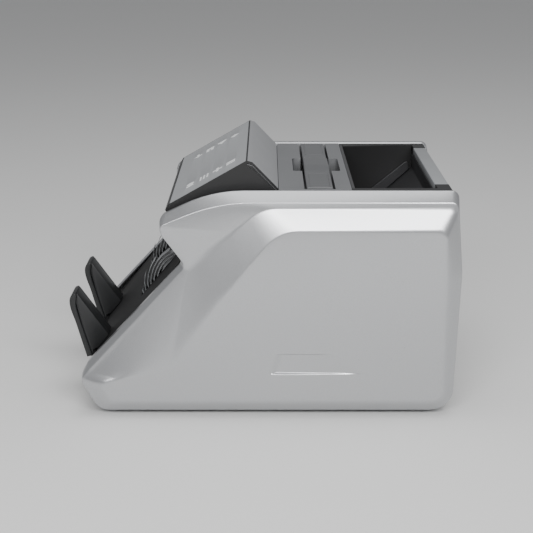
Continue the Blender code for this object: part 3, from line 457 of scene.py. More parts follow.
def prism(name, outline, low, high, look, axis="X", turn=None):
    """Solid between two planes across an axis, with the given outline."""
    shape = bmesh.new()
    ends = [[shape.verts.new(across(axis, p[0], p[1], w)) for p in outline] for w in (low, high)]
    count = len(outline)
    for i in range(count):
        j = (i + 1) % count
        shape.faces.new((ends[0][i], ends[0][j], ends[1][j], ends[1][i]))
    shape.faces.new(ends[0][::-1])
    shape.faces.new(ends[1])
    bmesh.ops.recalc_face_normals(shape, faces=shape.faces)
    if turn:
        shape.transform(turn)
    return piece_of(name, shape, look)


def block(name, low, high, look, turn=None):
    """Block between two corners, turned by a matrix if one is given, to be cut from or joined to a piece."""
    low, high = Vector(low), Vector(high)
    shape = bmesh.new()
    place = Matrix.Translation((low + high) / 2) @ Matrix.Diagonal((*(high - low), 1))
    bmesh.ops.create_cube(shape, size=1, matrix=(turn @ place) if turn else place)
    return piece_of(name, shape, look)


def lathe(name, profile, centre, look, axis="X", steps=48):
    """Profile of (radius, along) points turned about an axis through a centre."""
    shape = bmesh.new()
    rings = []
    for radius, along in profile:
        ring = []
        for step in range(steps if radius else 1):
            angle = 2 * math.pi * step / steps
            spot = across(axis, radius * math.cos(angle), radius * math.sin(angle), along)
            ring.append(shape.verts.new(Vector(centre) + spot))
        rings.append(ring)
    pairs = list(zip(rings, rings[1:]))
    if profile[0][0]:
        pairs.append((rings[-1], rings[0]))
    for first, second in pairs:
        for i in range(steps):
            j = (i + 1) % steps
            ends = [first[i % len(first)], first[j % len(first)]]
            ends += [second[j % len(second)], second[i % len(second)]]
            face = list(dict.fromkeys(ends))
            if len(face) > 2:
                shape.faces.new(face)
    bmesh.ops.recalc_face_normals(shape, faces=shape.faces)
    return piece_of(name, shape, look)


def slab(name, xs, ys, top, bottom, look, sharp, turn=None):
    """Closed plate over a grid of lines, its faces given by height functions of (x, y)."""
    shape = bmesh.new()
    layers = []
    for height in (bottom, top):
        layers.append([[shape.verts.new((x, y, height(x, y))) for y in ys] for x in xs])
    for layer in layers:
        for i in range(len(xs) - 1):
            for j in range(len(ys) - 1):
                shape.faces.new((layer[i][j], layer[i + 1][j], layer[i + 1][j + 1], layer[i][j + 1]))
    low, high = layers
    rim = [(i, 0) for i in range(len(xs))]
    rim += [(len(xs) - 1, j) for j in range(1, len(ys))]
    rim += [(i, len(ys) - 1) for i in range(len(xs) - 2, -1, -1)]
    rim += [(0, j) for j in range(len(ys) - 2, 0, -1)]
    for (i, j), (k, m) in zip(rim, rim[1:] + rim[:1]):
        shape.faces.new((low[i][j], low[k][m], high[k][m], high[i][j]))
    bmesh.ops.recalc_face_normals(shape, faces=shape.faces)
    if turn:
        shape.transform(turn)
    return piece_of(name, shape, look, sharp)


def copied(node, name, look):
    """A new piece with the CAD node's own shape, its flats merged."""
    shape = bmesh.new()
    shape.from_mesh(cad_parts[node].data)
    bmesh.ops.remove_doubles(shape, verts=shape.verts, dist=1e-6)
    bmesh.ops.dissolve_limit(
        shape, angle_limit=math.radians(0.5), verts=shape.verts, edges=shape.edges
    )
    bmesh.ops.recalc_face_normals(shape, faces=shape.faces)
    return piece_of(name, shape, look)


def refined(node, body, look, edge):
    """The CAD node's own shape with its corners rounded, standing in for it."""
    made = copied(node, node + "_moulding", look)
    soften(made, edge)
    return settle(made, body, look, node)


def flowing(points, steps=4):
    """Open smooth curve through points, as a list of points."""
    points = [Vector(p) for p in points]
    padded = [points[0], *points, points[-1]]
    line = []
    for a, b, c, d in zip(padded, padded[1:], padded[2:], padded[3:]):
        for step in range(steps):
            t = step / steps
            line.append((
                2 * b + (c - a) * t + (2 * a - 5 * b + 4 * c - d) * t ** 2
                + (3 * b - a - 3 * c + d) * t ** 3
            ) / 2)
    return line + [points[-1]]


def even(low, high, count):
    """Values from low to high in equal steps."""
    return [low + (high - low) * i / count for i in range(count + 1)]


def ramp(value, low, high):
    """0 below low, 1 above high, and a smooth rise between."""
    share = min(max((value - low) / (high - low), 0.0), 1.0)
    return share * share * (3 - 2 * share)


# --- side covers

# Parts that the straight run after each corner is cut into, from the rear bottom corner over the top.
COVER_RUNS = (10, 12, 24, 12, 8, 8, 26, 2, 6, 30)
ARC_STEPS = 6  # parts of each corner's arc
CREST_X = 0.007  # inner edge to the flange's crest
FOLD_X = 0.014  # inner edge to the crease under the flange
BAND_X = 0.0147  # inner edge to the foot of the sunk band
PANEL_EDGE_X = 0.0213  # inner edge to the raised panel's edge
PANEL_LAP = 0.0045  # from the raised panel's edge to the grid of its face
SLOPE_HIGH = 0.1265  # top of the sloping front edge
LIP_DROP = 0.0026  # flange's inner edge below its crest
CROWN_Y = (FRONT + REAR) / 2 + 0.005  # middle of the crown, and its reach to each side
CROWN_Z = 0.079
CROWN_REACH_Y = 0.154
CROWN_REACH_Z = 0.088


def cover_lines():
    """Corners (y, z, radius) of a side cover's lines, from the flange inwards to the raised panel's edge.
    They start at the rear bottom corner, run over the top, and match from line to line."""
    beak = PANEL_LOW.y - 0.0062  # the covers' tip, ahead of the control panel's lower edge
    edge = [
        (REAR - 0.0040, FOOT, 0.018),
        (REAR, TOP - 0.065, 0.080),
        (REAR - 0.0045, TOP, 0.006),
        (-0.0385, TOP, 0.105),
        (beak + 0.0024, TOP - 0.0208, 0.009),
        (beak + 0.0025, TOP - 0.0343, 0.008),
        (FRONT + 0.0825, SLOPE_HIGH, 0.006),
        (FRONT + 0.0045, SLOPE_HIGH - 0.084, 0.004),
        (FRONT - 0.0012, SLOPE_HIGH - 0.095, 0.006),
        (FRONT + 0.0132, FOOT, 0.014),
    ]
    lip = [(u, v - LIP_DROP if v > TOP - 0.01 else v, r) for u, v, r in edge]
    crease = [
        (REAR - 0.0043, FOOT + 0.0006, 0.018),
        (REAR - 0.0003, TOP - 0.065, 0.080),
        (REAR - 0.0052, TOP - 0.0083, 0.006),
        (-0.0330, TOP - 0.0083, 0.140),
        (beak + 0.0030, TOP - 0.0270, 0.003),
        (beak + 0.0045, TOP - 0.0345, 0.008),
        (FRONT + 0.0849, SLOPE_HIGH - 0.0020, 0.006),
        (FRONT + 0.0070, SLOPE_HIGH - 0.0864, 0.004),
        (FRONT - 0.0009, SLOPE_HIGH - 0.0956, 0.006),
        (FRONT + 0.0135, FOOT + 0.0006, 0.014),
    ]
    band = [
        (REAR - 0.0052, FOOT + 0.0015, 0.017),
        (REAR - 0.0010, TOP - 0.065, 0.080),
        (REAR - 0.0064, TOP - 0.0131, 0.006),
        (0.0010, TOP - 0.0131, 0.030),
        (-0.0220, TOP - 0.0323, 0.015),
        (-0.0430, TOP - 0.0500, 0.010),
        (FRONT + 0.0868, SLOPE_HIGH - 0.0045, 0.006),
        (FRONT + 0.0088, SLOPE_HIGH - 0.0890, 0.004),
        (FRONT + 0.0002, SLOPE_HIGH - 0.097, 0.006),
        (FRONT + 0.0142, FOOT + 0.0015, 0.013),
    ]
    panel = [
        (REAR - 0.0120, FOOT + 0.010, 0.010),
        (REAR - 0.0120, TOP - 0.065, 0.080),
        (REAR - 0.0145, TOP - 0.0289, 0.008),
        (0.0145, TOP - 0.0289, 0.034),
        (-0.0128, SLOPE_HIGH - 0.004, 0.012),
        (-0.0338, SLOPE_HIGH - 0.030, 0.010),
        (-0.0708, SLOPE_HIGH - 0.081, 0.014),
        (FRONT + 0.030, SLOPE_HIGH - 0.092, 0.006),
        (FRONT + 0.0140, SLOPE_HIGH - 0.096, 0.006),
        (FRONT + 0.0230, FOOT + 0.010, 0.008),
    ]
    return lip, edge, crease, band, panel


# Rounding along each line, in millimetres: one value for the crest, and ten corners of the others.
CREST_SOFT = 1.2
CREASE_SOFT = (1.4, 1.4, 0.9, 0.7, 0.8, 0.9, 0.9, 0.9, 1.6, 1.6)
BAND_SOFT = (4.0, 4.0, 2.0, 1.0, 3.0, 6.0, 3.0, 3.5, 8.0, 5.0)
PANEL_SOFT = (6.0, 6.5, 2.0, 0.8, 2.0, 8.0, 14.0, 16.0, 16.0, 8.0)


def inset(corners, distance):
    """The corner list of the same outline moved inwards."""
    moved = []
    count = len(corners)
    for index, (u, v, radius) in enumerate(corners):
        here = Vector((u, v))
        into = (here - Vector(corners[index - 1][:2])).normalized()
        away = (Vector(corners[(index + 1) % count][:2]) - here).normalized()
        side = (Vector((-into.y, into.x)) + Vector((-away.y, away.x))).normalized()
        spread = max(side.dot(Vector((-into.y, into.x))), 0.3)
        turn = into.x * away.y - into.y * away.x
        new_radius = radius - distance if turn > 0 else radius + distance
        spot = here + side * distance / spread
        moved.append((spot.x, spot.y, max(new_radius, 0.002)))
    return moved


def crown_x(y, z):
    """Height of the raised panel's crowned face."""
    share = (1 - ((y - CROWN_Y) / CROWN_REACH_Y) ** 2) * (1 - ((z - CROWN_Z) / CROWN_REACH_Z) ** 2)
    return INNER_X + PANEL_EDGE_X + bpy.context.scene.counter_sizes.crown * max(share, 0.0)


# Slanting front edge of the grip recess, and its length behind that edge at both ends.
SCOOP_LEFT_LOW = Vector((0.0093, 0.0386))
SCOOP_LEFT_HIGH = Vector((0.0150, 0.0548))
SCOOP_REACH_LOW = 0.076
SCOOP_REACH_HIGH = 0.040


def scoop_depth(y, z):
    """Depth of the grip recess: deepest along its slanting front edge and running out to the rear."""
    low, high = SCOOP_LEFT_LOW, SCOOP_LEFT_HIGH
    rise = (z - low.y) / (high.y - low.y)
    across_it = ramp(z, low.y - 0.0007, low.y + 0.0009) * (1 - ramp(z, high.y - 0.0004, high.y + 0.0006))
    start = low.x + (high.x - low.x) * rise
    reach = SCOOP_REACH_LOW + (SCOOP_REACH_HIGH - SCOOP_REACH_LOW) * min(max(rise, 0), 1)
    run = (y - start) / reach
    if run < -0.1 or run > 1:
        return 0.0
    front = ramp(y, start - 0.003, start + 0.004)
    return bpy.context.scene.counter_sizes.scoop * across_it * front * (1 - max(run, 0)) ** 0.8


def bent(points, softness):
    """A line through points in space with each inner corner turned by a short curve."""
    line = [points[0]]
    for before, corner, after, soft in zip(points, points[1:], points[2:], softness):
        reach_in = min(soft * MM, 0.45 * (before - corner).length)
        reach_out = min(soft * MM, 0.45 * (after - corner).length)
        start = corner + (before - corner).normalized() * reach_in
        end = corner + (after - corner).normalized() * reach_out
        for step in range(5):
            t = step / 4
            line.append(start * (1 - t) ** 2 + corner * 2 * t * (1 - t) + end * t * t)
    line.append(points[-1])
    return line


def cover_skin(name, side):
    """Skin of one side cover: flange, crease, sunk band, chamfer ribbon, crowned panel and grip recess."""
    lip, edge, crease, band, panel = cover_lines()
    inner = inset(panel, PANEL_LAP)
    heights = (0.0, CREST_X, FOLD_X, BAND_X)
    outlines = [rounded(line, ARC_STEPS, COVER_RUNS) for line in (lip, edge, crease, band, panel, inner)]
    station = []
    for corner, run in enumerate(COVER_RUNS):
        station += [float(corner)] * (ARC_STEPS + 1)
        station += [corner + step / run for step in range(1, run)]

    def at(values, place):
        """A value between those of two corners, for a place between them."""
        here, share = int(place), place - int(place)
        return values[here] * (1 - share) + values[(here + 1) % len(values)] * share

    shape = bmesh.new()
    rows = []
    for index, place in enumerate(station):
        points = []
        for level, outline in enumerate(outlines):
            y, z = outline[index]
            x = INNER_X + heights[level] if level < len(heights) else crown_x(y, z)
            points.append(Vector((x, y, z)))
        soft = [CREST_SOFT, at(CREASE_SOFT, place), at(BAND_SOFT, place), at(PANEL_SOFT, place)]
        line = bent(points, soft)
        rows.append([shape.verts.new((side * p.x, p.y, p.z)) for p in line])
    count = len(rows)
    for i in range(count):
        j = (i + 1) % count
        for k in range(len(rows[0]) - 1):
            shape.faces.new((rows[i][k], rows[i][k + 1], rows[j][k + 1], rows[j][k]))
    rim = [row[-1] for row in rows]
    cap = shape.faces.new(rim)
    fill_panel(shape, cap, side)
    bmesh.ops.recalc_face_normals(shape, faces=shape.faces)
    shape.faces.ensure_lookup_table()
    probe = max(shape.faces, key=lambda f: f.calc_center_median().x * side)
    if probe.normal.x * side < 0:
        bmesh.ops.reverse_faces(shape, faces=shape.faces)
    made = piece_of(name, shape, "silver", math.radians(60))
    wall = made.modifiers.new("wall", "SOLIDIFY")
    wall.thickness = bpy.context.scene.counter_sizes.skin
    wall.offset = -1
    return made


def fill_panel(shape, cap, side):
    """Grid the raised panel's face, close together round the grip recess, then crown it and press the
    recess into it."""
    lines_y = even(FRONT + 0.012, REAR - 0.016, 64) + even(0.0060, 0.0190, 12)
    lines_z = even(FOOT + 0.014, TOP - 0.034, 30)
    for z in (SCOOP_LEFT_LOW.y, SCOOP_LEFT_HIGH.y):
        lines_z += [z + d * MM for d in (-1.2, -0.8, -0.5, -0.25, 0, 0.25, 0.5, 0.8, 1.2)]
    parts = {cap}
    for values, normal in ((lines_y, (0, 1, 0)), (lines_z, (0, 0, 1))):
        for value in sorted(values):
            geometry = list(parts)
            geometry += list({e for f in parts for e in f.edges})
            geometry += list({v for f in parts for v in f.verts})
            spot = [n * value for n in normal]
            cut = bmesh.ops.bisect_plane(
                shape, geom=geometry, dist=1e-7, plane_co=spot, plane_no=normal
            )
            parts = {g for g in cut["geom"] if isinstance(g, bmesh.types.BMFace)}
            parts |= {f for f in geometry if isinstance(f, bmesh.types.BMFace) and f.is_valid}
    for vert in {v for f in parts for v in f.verts}:
        y, z = vert.co.y, vert.co.z
        vert.co.x = side * (crown_x(y, z) - scoop_depth(y, z))


class COUNTER_OT_side_covers(bpy.types.Operator):
    """Build the silver skins of both side covers"""

    bl_idname = "counter.side_covers"
    bl_label = "Side Covers"

    def execute(self, context):
        for label, side in (("right", 1), ("left", -1)):
            skin = cover_skin(f"{label}_cover_skin", side)
            settle(skin, "machine_body", "silver", f"{label}_side_cover")
        return {"FINISHED"}


# --- control panel

FACE_MIDDLE = (RIDGE + FACE_EDGE) / 2
FACE_TURN = Matrix.Translation(FACE_MIDDLE) @ Matrix.Rotation(PANEL_ANGLE, 4, "X")
FILM_MARGIN = 0.0012  # black rim round the film
FILM_GAP = 0.0002
FILM = 0.0009  # thickness
KEY_SIZE = Vector((0.0170, 0.0100))
KEYS_RIGHT = 0.065
KEYS_LEFT = -0.056
KEYS = [(KEYS_RIGHT, v) for v in (-0.0175, -0.0045, 0.0078, 0.0202)]
KEYS += [(KEYS_LEFT, v) for v in (-0.0170, -0.0045, 0.0075, 0.0205)]
KEY_LIFT = 0.0002  # height of a key's pillow
RIDGE_FLAT = Vector((0.0042, -0.0012))  # strip between the ridge and the rear slope
# Depth and inset of the back plate's side edge, level by level.
CAP_LEVELS = ((0.0, 0.0), (0.0024, 0.0), (0.0024, 0.0009), (0.0031, 0.0009), (0.0031, 0.0), (0.0054, 0.0))


def key_height(x, v):
    """Height of the film over its plane: each key is a low pillow."""
    lift = 0.0
    for key_x, key_v in KEYS:
        over_x = 1 - ramp(abs(x - key_x), KEY_SIZE.x / 2 - 0.0006, KEY_SIZE.x / 2 + 0.0002)
        over_v = 1 - ramp(abs(v - key_v), KEY_SIZE.y / 2 - 0.0006, KEY_SIZE.y / 2 + 0.0002)
        lift = max(lift, over_x * over_v)
    return KEY_LIFT * lift


def near_edges(centres, half, low, high):
    """Grid lines for a row of pillows: close together at their edges, and the two ends."""
    steps = (-0.0007, -0.0004, -0.0001, 0.0002)
    spots = [centre + side * (half + step) for centre in centres for side in (-1, 1) for step in steps]
    return sorted({round(spot, 6) for spot in (low, high, *spots) if low <= spot <= high})


def bar(x, v, wide, tall):
    return [(x - wide / 2, v - tall / 2), (x + wide / 2, v - tall / 2),
            (x + wide / 2, v + tall / 2), (x - wide / 2, v + tall / 2)]


def disc(x, v, radius, steps=20):
    turn = 2 * math.pi / steps
    return [(x + radius * math.cos(turn * i), v + radius * math.sin(turn * i)) for i in range(steps)]


def symbols():
    """Plain shapes for the eight keys, on a grid of one unit to half a symbol's width."""
    plus = [(-0.25, -1), (0.25, -1), (0.25, -0.25), (1, -0.25), (1, 0.25), (0.25, 0.25),
            (0.25, 1), (-0.25, 1), (-0.25, 0.25), (-1, 0.25), (-1, -0.25), (-0.25, -0.25)]
    plus = [(x * 0.9, v * 0.62) for x, v in plus]
    arrow = [(-0.95, -0.16), (0.1, -0.16), (0.1, -0.6), (0.95, 0), (0.1, 0.6), (0.1, 0.16), (-0.95, 0.16)]
    play = [(-0.55, -0.6), (0.75, 0), (-0.55, 0.6)]
    diamond = [(-0.8, 0), (0, -0.58), (0.8, 0), (0, 0.58)]
    return [
        [disc(-0.45, 0, 0.5), bar(0.55, 0, 0.6, 0.9)],
        [bar(0, -0.45, 1.9, 0.22), bar(0, 0, 1.9, 0.22), bar(0, 0.45, 1.9, 0.22)],
        [plus],
        [bar(-0.4, 0, 0.45, 1.15), bar(0.4, 0, 0.45, 1.15)],
        [arrow],
        [bar(-0.5, 0, 0.75, 1.1), bar(0.5, 0.32, 0.75, 0.42), bar(0.5, -0.32, 0.75, 0.42)],
        [play, bar(-0.85, 0, 0.25, 1.25)],
        [diamond],
    ]


def panel_cap():
    """Cover plate over the panel's back, its side edges parted by a groove; its upward faces are painted
    lighter grey as reflection, and its side faces black.
    """
    line = [Vector((RIDGE.y + 0.0003, RIDGE.z - 0.0001)), Vector((RIDGE.y, RIDGE.z)) + RIDGE_FLAT]
    line.append(Vector((PANEL_FOOT - 0.0001, TOP_Z + 0.0003)))
    shape = bmesh.new()
    rows = []
    for depth, inset_x in CAP_LEVELS:
        row = []
        for point in line:
            ends = [(side * (PANEL_X - inset_x), point.x, point.y - depth) for side in (-1, 1)]
            row.append([shape.verts.new(end) for end in ends])
        rows.append(row)
    for upper, lower in zip(rows, rows[1:]):
        for i in range(len(line) - 1):
            for k in (0, 1):
                shape.faces.new((upper[i][k], upper[i + 1][k], lower[i + 1][k], lower[i][k]))
        for i in (0, len(line) - 1):
            shape.faces.new((upper[i][0], upper[i][1], lower[i][1], lower[i][0]))
    for row in (rows[0], rows[-1]):
        for first, second in zip(row, row[1:]):
            shape.faces.new((first[0], first[1], second[1], second[0]))
    bmesh.ops.recalc_face_normals(shape, faces=shape.faces)
    plate = piece_of("panel_back_plate", shape, "cap")
    # Side faces take the black and all other faces the lighter grey: painted reflection on the upward faces.
    plate.data.materials.append(finish("black"))
    for face in plate.data.polygons:
        face.material_index = 1 if abs(face.normal.x) > 0.9 else 0
    return plate


def cap_space():
    """Room for the cover plate in the shell."""
    deep = CAP_LEVELS[-1][0] + 0.0001
    bend = Vector((RIDGE.y, RIDGE.z)) + RIDGE_FLAT
    front, high, rear = RIDGE.y + 0.0002, RIDGE.z + 0.01, PANEL_FOOT + 0.01
    return prism("cap_space", [
        (front, high), (front, RIDGE.z - deep), (bend.x, bend.y - deep),
        (PANEL_FOOT, TOP_Z + 0.0003 - deep), (rear, TOP_Z + 0.0003 - deep), (rear, high),
    ], -0.2, 0.2, "black")


class COUNTER_OT_control_panel(bpy.types.Operator):
    """Build the wedge: black shell, back plate painted grey as reflection on its upward faces, printed film
    with keys, and what lies under it
    """

    bl_idname = "counter.control_panel"
    bl_label = "Control Panel"

    def execute(self, context):
        sizes = context.scene.counter_sizes
        shell = copied("panel_housing", "panel_shell", "black")
        half_x = PANEL_X - FILM_MARGIN
        half_v = PANEL_FACE / 2 - FILM_MARGIN
        wide, tall = half_x + FILM_GAP, half_v + FILM_GAP
        recess = block(
            "film_space", (-wide, -tall, -FILM - 0.0003), (wide, tall, 0.01), "black", FACE_TURN,
        )
        combine(shell, "DIFFERENCE", [cap_space(), recess])
        soften(shell, sizes.edge)
        settle(shell, "machine_body", "black", "panel_housing")
        cap = panel_cap()
        soften(cap, 0.0003)
        settle(cap, "machine_body", "cap", "panel_housing")
        xs = near_edges((KEYS_RIGHT, KEYS_LEFT), KEY_SIZE.x / 2, -half_x, half_x)
        vs = near_edges([v for _, v in KEYS], KEY_SIZE.y / 2, -half_v, half_v)
        film = slab(
            "printed_film", xs, vs, key_height, lambda x, v: -FILM + 0.0001, "film",
            math.radians(25), FACE_TURN
        )
        settle(film, "machine_body", "film", "panel_overlay")
        scale = sizes.icon / 2
        for index, ((x, v), shapes) in enumerate(zip(KEYS, symbols())):
            for number, outline in enumerate(shapes):
                drawn = [(x + scale * u, v + scale * w) for u, w in outline]
                icon = prism(
                    f"key_symbol_{index}_{number}", drawn, KEY_LIFT - 0.00005, KEY_LIFT + 0.00012,
                    "ink", "Z", FACE_TURN,
                )
                settle(icon, "machine_body", "ink")
        return {"FINISHED"}


# --- top plate and strap

STRAP_Y = (STRAP_LOW.y + STRAP_HIGH.y) / 2
STRAP_HALF = (STRAP_HIGH.y - STRAP_LOW.y) / 2
STRAP_END = STRAP_HIGH.x
STRAP_RISE = TOP_Z + 0.0008
STRAP_DEEP = 0.0076  # top to underside
ARCH_RISE = 0.0021
ARCH_START = 0.012
ARCH_END = 0.034
EDGE_FALL = 0.0007  # rounding of the strap's long edges and ends
EDGE_REACH = 0.0012
FRAME_START = 0.040
FRAME_INSET = 0.0024
FRAME_WIDTH = 0.0005
FRAME_DEEP = 0.0004
EDGE_LINES = (0, 0.3, 0.6, 0.9, 1.2, 1.8, 1.9, 2.1, 2.4, 2.7, 2.9)  # grid lines from an edge, in mm
LEG_X = 0.080
LEG_HALF = 0.0015


def strap_top(x, y):
    """Arched middle, rounded long edges and a framed panel pressed into each end."""
    arch = ARCH_RISE * (1 - ramp(abs(x), ARCH_START, ARCH_END))
    from_side = STRAP_HALF - abs(y - STRAP_Y)
    from_end = STRAP_END - abs(x)
    edge = EDGE_FALL * (1 - ramp(min(from_side, from_end), 0.0, EDGE_REACH))
    into = min(from_side, from_end, abs(x) - FRAME_START + FRAME_INSET)
    line = 1 - ramp(abs(into - FRAME_INSET), FRAME_WIDTH * 0.4, FRAME_WIDTH)
    return STRAP_RISE + arch - edge - FRAME_DEEP * line


def strap_bottom(x, y):
    """Underside, hollowed in the middle for the fingers."""
    return STRAP_RISE - STRAP_DEEP + 0.0035 * (1 - ramp(abs(x), 0.016, 0.027))


def leg(side):
    """Guide leg with the hook that stops the strap at its full height."""
    high = STRAP_RISE - 0.0070
    low = STRAP_LOW.z
    near, far = side * (LEG_X - LEG_HALF), side * (LEG_X + LEG_HALF)
    hook = side * (LEG_X + 0.0045)
    return prism("strap_leg", [
        (near, high), (near, low), (hook, low), (hook, low + 0.0026), (hook - side * 0.0009, low + 0.0035),
        (far, low + 0.0035), (far, high),
    ], STRAP_LOW.y + 0.0002, STRAP_HIGH.y - 0.0002, "strap", "Y")


def upright_edges(shape, places):
    """Vertical edges of a shape at the given (|x|, y) places."""
    found = []
    for edge in shape.edges:
        a, b = edge.verts[0].co, edge.verts[1].co
        near = any(abs(abs(a.x) - x) < 0.0004 and abs(a.y - y) < 0.0004 for x, y in places)
        if near and (a - b).xy.length <= 0.0001:
            found.append(edge)
    return found


class COUNTER_OT_top(bpy.types.Operator):
    """Build the top plate with its finger pockets, and the pull-up strap"""

    bl_idname = "counter.top"
    bl_label = "Top Plate and Strap"

    def execute(self, context):
        plate = copied("top_cover", "top_plate", "top")
        shape = bmesh.new()
        shape.from_mesh(plate.data)
        places = [(0.027, STRAP_Y + side * 0.01975) for side in (-1, 1)]
        bmesh.ops.bevel(
            shape, geom=upright_edges(shape, places), offset=0.0024, segments=5, profile=0.5,
            affect="EDGES",
        )
        shape.to_mesh(plate.data)
        shape.free()
        soften(plate, 0.0003)
        settle(plate, "machine_body", "top", "top_cover")
        half_lines = even(0.0, 0.040, 20) + [FRAME_START - FRAME_INSET + d * MM for d in (0.6, 3.0)]
        half_lines += [FRAME_START + d * MM for d in (-0.5, -0.3, 0.0, 0.3, 0.5)]
        half_lines += [STRAP_END - d * MM for d in EDGE_LINES]
        half_lines += even(0.043, 0.092, 6)
        xs = sorted({round(side * x, 6) for x in half_lines for side in (-1, 1)})
        steps = (*EDGE_LINES, 5, 8)
        ys = sorted({round(STRAP_Y + side * (STRAP_HALF - d * MM), 6) for d in steps for side in (-1, 1)})
        strap = slab("pull_up_strap", xs, ys, strap_top, strap_bottom, "strap", math.radians(50))
        combine(strap, "UNION", [leg(1), leg(-1)])
        settle(strap, "handle", "strap", "carry_handle")
        return {"FINISHED"}


# --- stacker

WHEEL_LOW, WHEEL_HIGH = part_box("stacker_wheel_right")
WHEEL_AXIS = Vector((0, (WHEEL_LOW.y + WHEEL_HIGH.y) / 2, (WHEEL_LOW.z + WHEEL_HIGH.z) / 2))
WHEEL_X = (WHEEL_LOW.x + WHEEL_HIGH.x) / 2
WHEEL_HALF = (WHEEL_HIGH.x - WHEEL_LOW.x) / 2
WHEEL_RADIUS = (WHEEL_HIGH.z - WHEEL_LOW.z) / 2
HUB_RADIUS = 0.0150
FINS = 16
FIN_SWEEP = math.radians(-180)
FIN_STEPS = 16
FIN_THICK = 0.00085  # at the hub
FIN_TAPER = 0.00050  # hub to tip
FINGER_X = 0.0475
FINGER_TIP = 0.0855
FINGER_REACH = 0.0155  # tip in front of the covers
BLADE_HALF = 0.0125
WEB_HALF = 0.0105


def fin_wheel(name, x):
    """Hub with long thin fins that curl nearly round it."""
    loop = []
    for fin in range(FINS):
        base = 2 * math.pi * fin / FINS
        for edge, order in ((-1, range(FIN_STEPS + 1)), (1, range(FIN_STEPS, -1, -1))):
            for step in order:
                share = step / FIN_STEPS
                radius = HUB_RADIUS + (WHEEL_RADIUS - HUB_RADIUS) * share
                half_thick = (FIN_THICK - FIN_TAPER * share) / 2
                lean = math.hypot(1, radius * FIN_SWEEP / (WHEEL_RADIUS - HUB_RADIUS))
                angle = base + FIN_SWEEP * share + edge * half_thick * lean / radius
                loop.append((radius * math.cos(angle), radius * math.sin(angle)))
    outline = [(WHEEL_AXIS.y + u, WHEEL_AXIS.z + v) for u, v in loop]
    wheel = prism(name, outline, x - WHEEL_HALF, x + WHEEL_HALF, "wheel")
    wide = WHEEL_HALF + 0.0004
    end = [
        (0.0043, wide), (HUB_RADIUS - 0.006, wide), (HUB_RADIUS - 0.005, wide - 0.0012),
        (HUB_RADIUS + 0.0012, wide - 0.0012),
    ]
    profile = [(radius, -along) for radius, along in end] + [(HUB_RADIUS + 0.0018, 0.0)] + end[::-1]
    hub = lathe("hub", profile, (x, WHEEL_AXIS.y, WHEEL_AXIS.z), "wheel")
    combine(wheel, "UNION", [hub])
    return wheel


def stop_finger(name, side):
    """Curved finger: a wide front blade on a narrower web whose back edge runs straight to the tray."""
    tip = FRONT - FINGER_REACH
    front = flowing([
        (tip + 0.0022, FINGER_TIP - 0.0010), (tip + 0.0004, FINGER_TIP - 0.0040),
        (tip, FINGER_TIP - 0.0085), (tip + 0.0012, FINGER_TIP - 0.0150),
        (tip + 0.0045, FINGER_TIP - 0.0250), (tip + 0.0086, FINGER_TIP - 0.0400),
        (tip + 0.0130, FINGER_TIP - 0.0555),
    ])
    back = flowing([
        (tip + 0.0175, FINGER_TIP - 0.0540), (tip + 0.0138, FINGER_TIP - 0.0420),
        (tip + 0.0098, FINGER_TIP - 0.0285), (tip + 0.0063, FINGER_TIP - 0.0160),
        (tip + 0.0052, FINGER_TIP - 0.0090), (tip + 0.0060, FINGER_TIP - 0.0026),
    ])
    crown = [Vector((tip + 0.0056, FINGER_TIP - 0.0008)), Vector((tip + 0.0046, FINGER_TIP))]
    middle = side * FINGER_X
    blade = prism(name, front + back + crown, middle - BLADE_HALF, middle + BLADE_HALF, "finger")
    soften(blade, 0.0011, 3)
    bake(blade)
    web = prism("web", [
        (FRONT - 0.0094, 0.0850), (FRONT + 0.0160, 0.0490), (FRONT + 0.0065, 0.0376),
        (FRONT + 0.0026, 0.0360), (FRONT + 0.0026, 0.0300), (FRONT + 0.0004, 0.0300),
        (FRONT - 0.0060, 0.0560), (FRONT - 0.0116, 0.0810),
    ], middle - WEB_HALF, middle + WEB_HALF, "finger")
    soften(web, 0.0006)
    bake(web)
    combine(blade, "UNION", [web])
    return blade


class COUNTER_OT_stacker(bpy.types.Operator):
    """Build the stacker: tray, stop fingers, finned wheels, roof and lower front"""

    bl_idname = "counter.stacker"
    bl_label = "Stacker"

    def execute(self, context):
        edges = {"stacker_plate": 0.0005, "stacker_roof": 0.0004, "front_lower_cover": 0.0006}
        for node, edge in edges.items():
            refined(node, "machine_body", "tray", edge)
        for label, side in (("right", 1), ("left", -1)):
            finger = stop_finger(f"{label}_stop_finger", side)
            settle(finger, "machine_body", "finger", f"stop_finger_{label}")
            wheel = fin_wheel(f"{label}_finned_wheel", side * WHEEL_X)
            settle(wheel, "stacker_spindle", "wheel", f"stacker_wheel_{label}")
        return {"FINISHED"}


# --- hopper, rear, feet and motor

COVER_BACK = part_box("rear_cover")[1].y  # outer face of the rear cover
DOOR_LOW, DOOR_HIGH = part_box("rear_door")
KNOB_LOW, KNOB_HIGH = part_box("gap_adjust_knob")
MOTOR_LOW, MOTOR_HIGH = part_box("main_motor")
VENTS = [(x, 0.017 + 0.0046 * row) for x in (-0.078, -0.046) for row in range(8)]
VENT_SIZE = Vector((0.027, 0.0021))
VENT_ROUND = 0.0009
BEYOND = 0.01  # cutters reach this far past the surface
SCREWS = [(side * 0.092, z) for side in (-1, 1) for z in (0.0160, 0.1640)]


def screw(name, x, z):
    """Pan-head screw with a cross recess."""
    head = lathe(name, [
        (0, -0.0004), (0.0031, -0.0004), (0.0031, 0.0006), (0.0027, 0.0013), (0.0018, 0.0018), (0, 0.0020),
    ], (x, COVER_BACK, z), "zinc", "Y", 32)
    cross = []
    for wide, tall in ((0.0017, 0.0004), (0.0004, 0.0017)):
        low = (x - wide, COVER_BACK + 0.0008, z - tall)
        high = (x + wide, COVER_BACK + 0.0040, z + tall)
        cross.append(block("recess", low, high, "zinc"))
    combine(head, "DIFFERENCE", cross)
    return head


